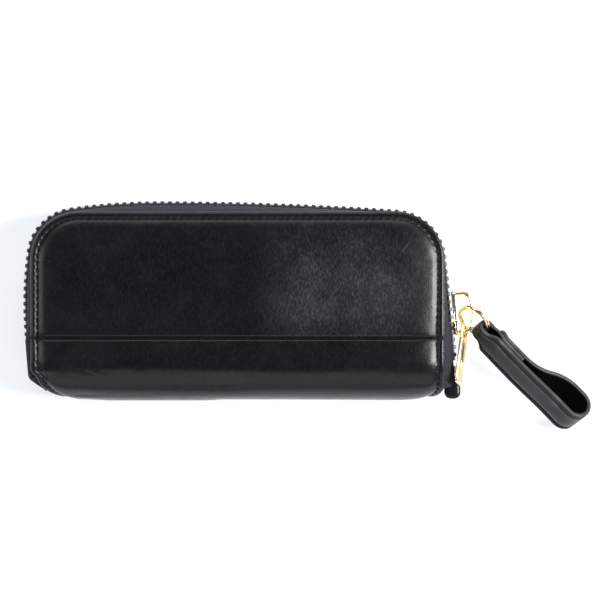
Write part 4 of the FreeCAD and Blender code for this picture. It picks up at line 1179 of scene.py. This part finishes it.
def makeSlider():
    shape = sliderShape
    half, wide, waist, inner, outer = (shape[name] for name in ("half", "wide", "waist", "inner", "outer"))
    shells = []

    def addPlate(outline, low, high, face=1):
        points, faces = plateShell(outline, low, high)
        shells.append(([(level * face, along, up) for along, up, level in points], faces))

    corners = [(-half, -wide), (0.0, -wide), (half, -waist), (half, waist), (0.0, wide), (-half, wide)]
    outline = roundedOutline(corners, shape["corner"])
    root = inner + shape["flangeDepth"]
    addPlate(outline, root, outer)
    addPlate(outline, -outer, -root)
    end = half - shape["flangeInset"]
    lip = wide - shape["flange"]
    for side in (-1, 1):
        rail = [(-end, side * lip), (-end, side * wide), (0.0, side * wide), (end, side * waist),
                (end, side * (waist - shape["flangeEnd"])), (0.0, side * lip)]
        for face in (-1, 1):
            addPlate(roundedOutline(rail, shape["flangeRound"], 2), inner, root + shape["flangeRoot"], face)
    low, tip = shape["wedge"]
    thin = shape["wedgeHalf"]
    wedge = [(low, -thin), (tip - thin, -thin), (tip, 0.0), (tip - thin, thin), (low, thin)]
    tall = outer - shape["wedgeRoot"]
    addPlate(roundedOutline(wedge, shape["wedgeRound"], 3), -tall, tall)
    line = bridgeLine()
    tangents = np.gradient(line, axis=0)
    tangents /= np.linalg.norm(tangents, axis=1)[:, None]
    thick = shape["bridgeThick"] / 2
    section = roundedOutline(rectangle(shape["bridgeWide"] / 2, -thick, thick), shape["bridgeRound"], 4)
    rings = []
    for spot, tangent in zip(line, tangents):
        normal = np.array((-tangent[1], tangent[0]))
        rings.append([np.append(spot + normal * out, across) for across, out in section])
    shells.append(sweep(rings))
    points, faces = joinShells(shells)
    points = setIn(points, shape["origin"], shape["outward"], shape["along"], (0.0, 0.0, 1.0))
    piece = makePiece("zipperSlider", points, faces, paleGold, sharp=shape["sharp"])
    softenEdges(piece, shape["edgeRound"], angle=shape["softFrom"])
    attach(piece, "slider")
    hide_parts("slider")


pullShape = {
    "origin": (70.781, -6.204, 11.788), "hang": (-0.11657, -0.90996, 0.39798), "face": (0.95857, 0.00178, 0.28484),
    "wide": 5.0, "top": 0.5, "length": 20.4, "thick": 1.1, "slotWide": 3.0, "slot": 11.5, "rim": 1.0, "bend": 1.25,
    "slotBend": 0.5, "edgeRound": 0.3,
}


def makePull():
    shape = pullShape
    top = shape["top"]
    roof = top - shape["rim"]
    outline = roundedOutline(rectangle(shape["wide"] / 2, top - shape["length"], top), shape["bend"])
    hole = roundedOutline(rectangle(shape["slotWide"] / 2, roof - shape["slot"], roof), shape["slotBend"])
    points, faces = plateShell(outline, -shape["thick"] / 2, shape["thick"] / 2, hole)
    hang = Vector(shape["hang"]).normalized()
    face = Vector(shape["face"]).normalized()
    points = setIn(points, shape["origin"], face.cross(hang), -hang, face)
    piece = makePiece("pullTab", points, faces, paleGold)
    softenEdges(piece, shape["edgeRound"], 4)
    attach(piece, "pull_tab")
    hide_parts("pull_tab")


ringShape = {"centre": (73.5213, -4.5391, 12.1686), "radius": 5.0, "wire": 0.7, "around": 72, "section": 18}
strapFrame = {
    "origin": (76.5018, -7.6254, 11.8837), "along": (0.69313, -0.71776, -0.06627),
    "across": (0.47158, 0.38202, 0.79478), "face": (-0.54514, -0.58214, 0.60327),
}


def makeRing():
    shape = ringShape
    rings = []
    for turn in np.linspace(0.0, 2 * math.pi, shape["around"], endpoint=False):
        ring = []
        for side in np.linspace(0.0, 2 * math.pi, shape["section"], endpoint=False):
            reach = shape["radius"] + shape["wire"] * math.cos(side)
            ring.append((reach * math.cos(turn), reach * math.sin(turn), shape["wire"] * math.sin(side)))
        rings.append(ring)
    points, faces = sweep(rings, closed=True)
    points = setIn(points, shape["centre"], strapFrame["along"], strapFrame["across"], strapFrame["face"])
    piece = makePiece("jumpRing", points, faces, paleGold)
    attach(piece, "jump_ring")
    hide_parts("jump_ring")


makeSlider()
makePull()
makeRing()
print("slider, pull and ring made")


# End tab: a patch of leather folded round the ends of both tapes

tabShape = {
    "corners": [(64.3, -23.3), (69.3, -23.1), (69.35, -28.95), (64.3, -28.95)],
    "bend": 2.0, "low": 8.5, "high": 16.5, "edgeRound": 1.1,
}


def makeEndTab():
    shape = tabShape
    points, faces = plateShell(roundedOutline(shape["corners"], shape["bend"], 9), shape["low"], shape["high"])
    tab = makePiece("zipperEndTab", points, faces, blackLeather)
    softenEdges(tab, shape["edgeRound"], 4)
    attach(tab, "case")
    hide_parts("zipper_end_tab")


makeEndTab()
print("end tab made")


# Strap: one strip of leather folded round the ring and bowed into a loop

strapShape = {
    "length": 41.4, "width": 10.6, "leather": 1.3, "plyGap": 0.12, "eye": 1.35, "sewn": 15.0, "spread": 19.0,
    "bow": 8.7, "lift": -0.6, "highTongue": 2.6, "highShoulder": (1.0, 5.0),
    "lowTongue": 2.7, "lowShoulder": (0.8, 4.3), "crease": 1.9, "creaseDeep": 0.26,
    "edgeRound": 0.45, "step": 0.5, "fineStep": 0.25, "tight": 3.0, "tongueMoves": 5,
    "endTurn": 0.6, "endRun": 1.5, "endRound": 2.4, "endWidth": 0.45, "shadedFleshFrom": 0.85,
}
strapStitches = {"from": 3.9, "to": 14.0, "pitch": 2.5, "length": 1.3, "width": 0.45, "slant": 0.1, "rise": 0.2}


def setOnStrap(points):
    return setIn(points, strapFrame["origin"], strapFrame["along"], strapFrame["face"], strapFrame["across"])


def strapLine():
    shape = strapShape
    ply = shape["leather"] + shape["plyGap"]
    fold = shape["eye"] + shape["leather"] / 2
    neck = shape["sewn"] / 2
    tuck = fold - ply
    under = tuck - ply
    bend = shape["bow"] / 2
    rise = shape["bow"] - shape["lift"] - fold + under
    plain = shape["length"] - shape["leather"] / 2 - bend - shape["sewn"] - shape["spread"]

    def sway(length, offset):
        turn = 2 * math.atan2(abs(offset), length)
        radius = math.copysign(length / (2 * math.sin(turn)), offset)
        return [(turn * abs(radius), radius), (turn * abs(radius), -radius)]

    eye = sway(neck, fold + tuck)
    inside = eye[0][1] - ply  # the free end follows the eye's lower side
    moves = [(shape["sewn"] - neck, None), *eye, (math.pi * fold, -fold), (shape["sewn"], None),
             *sway(shape["spread"], shape["lift"]), (plain, None), (math.pi * bend, -bend), (plain, None),
             *sway(shape["spread"], -rise), (neck, None), (inside * shape["endTurn"], inside),
             (shape["endRun"], None)]
    return layOut((shape["sewn"], tuck), math.pi, moves)


def strapSection(high, low):
    # across the width and out of the face, with a crease inside each edge; then its painted shade and its rubbed
    # wear with painted highlight
    half = strapShape["width"] / 2
    thick = strapShape["leather"] / 2
    bend = strapShape["edgeRound"]
    inner = half - strapShape["crease"]
    deep = strapShape["creaseDeep"]
    face = [(half - bend, 0.0, 0.3, 0.25), (inner + 0.75, 0.05, 0.5, 0.0), (inner + 0.4, 0.03, 0.6, 0.0),
            (inner + 0.16, -0.7 * deep, 0.9, 0.0), (inner, -deep, 1.0, 0.0), (inner - 0.16, -0.6 * deep, 0.3, 0.5),
            (inner - 0.38, 0.02, 0.0, 1.0), (inner - 0.75, 0.07, 0.0, 0.9), (inner - 1.1, 0.08, 0.0, 0.2),
            (0.0, 0.1, 0.0, 0.0)]
    upper = [(across * high / half, thick + level, *worn) for across, level, *worn in face]
    upper += [(-across * low / half, thick + level, *worn) for across, level, *worn in reversed(face[:-1])]
    turns = np.linspace(math.pi / 2, 3 * math.pi / 2, 9)[1:-1]
    edge = [(1.0 - (math.cos(turn) + 1.0) * bend / half, thick * math.sin(turn), 0.15, 0.5) for turn in turns]
    left = [(-low * across, level, *worn) for across, level, *worn in edge]
    lower = [(across, -thick, 0.9, 0.0) for across, *rest in reversed(upper)]
    right = [(high * across, -level, *worn) for across, level, *worn in edge]
    return upper + left + lower + right


def makeStrap():
    shape = strapShape
    line = strapLine()
    sections, shade, rub = [], [], []
    left = sum(stretch.length for stretch in line)
    for number, stretch in enumerate(line):
        tight = stretch.radius is not None and abs(stretch.radius) < shape["tight"]
        last = number >= len(line) - 2
        steps = max(int(stretch.length / shape["fineStep" if tight or last else "step"]), 3)
        for step in range(steps + (stretch is line[-1])):
            distance = stretch.length * step / steps
            spot = stretch.at(distance)
            heading = stretch.heading(distance)
            normal = np.array([-math.sin(heading), math.cos(heading)])
            short = max(1.0 - (left - distance) / shape["endRound"], 0.0)
            full = shape["endWidth"] + (1.0 - shape["endWidth"]) * math.sqrt(1.0 - short * short)
            half = shape["width"] / 2 * full  # the free end is rounded
            sides = [half, half]
            if number < shape["tongueMoves"]:
                for place, side in enumerate(("high", "low")):
                    share = 1.0 - float(ease(spot[0], *shape[side + "Shoulder"]))
                    sides[place] = half + (shape[side + "Tongue"] - half) * share
            section = strapSection(*sides)
            sections.append([(*(spot + normal * level), across) for across, level, *worn in section])
            shade += [dark for across, level, dark, worn in section]
            rub += [worn for across, level, dark, worn in section]
        left -= stretch.length
    points, faces = sweep(sections)
    piece = makePiece("strapLoop", setOnStrap(points), faces, strapLeather)
    setWearAndLight(piece, {"rub": rub, "shade": shade})
    # painted shade: faces inside the loop and in the creases take the dark matte copy
    piece.data.materials.append(fleshSide)
    for face in piece.data.polygons:
        face.material_index = int(min(shade[corner] for corner in face.vertices) > shape["shadedFleshFrom"])
    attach(piece, "strap")
    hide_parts("strap_loop")


def makeStrapStitches():
    level = strapShape["eye"] + strapShape["leather"] - strapShape["creaseDeep"] + strapStitches["rise"]
    crease = strapShape["width"] / 2 - strapShape["crease"]
    lines = [setOnStrap([(strapStitches[end], level, side) for end in ("from", "to")])
             for side in (-crease, crease)]
    makeStitches("strapStitches", lines, "strap", strapStitches)


makeStrapStitches()
makeStrap()
print("strap made")


# Lining: one cloth over the front cover, the spine and the back cover

liningShape = {
    "inset": 1.6, "endGap": 2.4, "level": 21.95, "thickness": 0.4, "bendSteps": 24, "rowStep": 1.6, "columns": 60,
}


def endsInside(height, radius):
    # draw-in of the spine's left and right ends for a sheet bent at a radius inside the leather
    below = max(case["spineAxis"] - height, 0.0)
    outer = case["spineAxis"] - below * case["spineRadius"] / radius
    return [float(spineEnd(outer, case[end])) for end in ("spineLeft", "spineRight")]


def roundSpine(radius, run, steps):
    # Y and Z along the front, round the spine's bend and back
    turns = np.linspace(0.0, math.pi, steps + 1)[1:-1]
    bend = [(case["spineAxis"] - radius * math.sin(turn), midLevel + radius * math.cos(turn)) for turn in turns]
    front, back = ([(height, midLevel + level) for height in run] for level in (radius, -radius))
    return front + bend + back[::-1]


def makeLining():
    half, far, bend = (case[name] - liningShape["inset"] for name in ("halfLength", "topEdge", "corner"))
    radius = liningShape["level"] - midLevel
    run = np.linspace(far, case["spineAxis"], int((far - case["spineAxis"]) / liningShape["rowStep"]) + 1)
    rows = roundSpine(radius, run, liningShape["bendSteps"])
    spare = liningShape["endGap"] - liningShape["inset"]
    points, flat = [], []
    gone = 0.0
    for number, (height, level) in enumerate(rows):
        if number:
            gone += math.dist(rows[number - 1], rows[number])
        drop = np.clip(height - (far - bend), 0.0, bend)
        top = bend - math.sqrt(bend * bend - drop * drop)
        left, right = (half - max(top, drawn + spare, 0.0) for drawn in endsInside(height, radius))
        for across in np.linspace(-left, right, liningShape["columns"] + 1):
            points.append((across, height, level))
            flat.append((across, gone))
    lining = makePiece("lining", points, gridFaces(len(rows), liningShape["columns"] + 1), liningCloth, flat)
    thicken(lining, liningShape["thickness"])
    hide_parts("case_lining", "front_lining")
    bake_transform(lining)


makeLining()
print("lining made")


# Spine board: a stiff sheet between the leather and the lining

boardShape = {
    "radius": 10.5, "thickness": 1.45, "seamInset": 2.35, "sideInset": 4.2, "endGap": 3.4,
    "bendSteps": 32, "columns": 24,
}


def makeSpineBoard():
    shape = boardShape
    run = (case["seam"] - shape["seamInset"], case["spineAxis"])
    rows = roundSpine(shape["radius"], run, shape["bendSteps"])
    points = []
    for height, level in rows:
        left, right = (case["halfLength"] - max(shape["sideInset"], drawn + shape["endGap"])
                       for drawn in endsInside(height, shape["radius"]))
        points += [(across, height, level) for across in np.linspace(-left, right, shape["columns"] + 1)]
    board = makePiece("spineBoard", points, gridFaces(len(rows), shape["columns"] + 1), greyBoard)
    thicken(board, shape["thickness"])
    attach(board, "case")
    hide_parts("spine_board")


makeSpineBoard()
print("spine board made")


# Solids that keep their own shape

plainSolids = (
    (greyBoard, ["front_board", "back_board"]),
    (paleGold, ["right_end_stops", "left_end_stop"]),
    (satinGold, ["hook_bar", "hook_pin", "bar_rivets"]
     + [f"{kind}_{number}" for kind in ("key_hook", "hook_gate") for number in range(1, 5)]),
)
for finish, names in plainSolids:
    for name in names:
        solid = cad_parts[name]
        solid.data.materials.clear()
        solid.data.materials.append(finish)


def floorRecipe(graph, place, look):
    return {
        "Base Color": (*look["floorColour"], 1.0), "Roughness": 0.8, "Specular IOR Level": 0.2,
        "Emission Color": (*look["sky"], 1.0), "Emission Strength": look["floorGlow"],
    }


def makeFloor():
    reach = studio["floorSize"] / 2
    corners = [(across, along, -studio["floorGap"]) for across, along in rectangle(reach, -reach, reach)]
    floor = makePiece("floor", corners, [(0, 1, 2, 3)], makeFinish("paleFloor", floorRecipe, studio))


def makeSky():
    world = bpy.data.worlds.new("studioSky")
    world.use_nodes = True
    back = world.node_tree.nodes["Background"]
    back.inputs["Color"].default_value = (*studio["sky"], 1.0)
    back.inputs["Strength"].default_value = studio["skyStrength"]
    bpy.context.scene.world = world


makeCamera()
for lampName, lamp in lamps.items():
    makeLamp(lampName, lamp)
makeFloor()
makeSky()
bpy.context.scene.view_settings.view_transform = "Standard"
print("studio made")
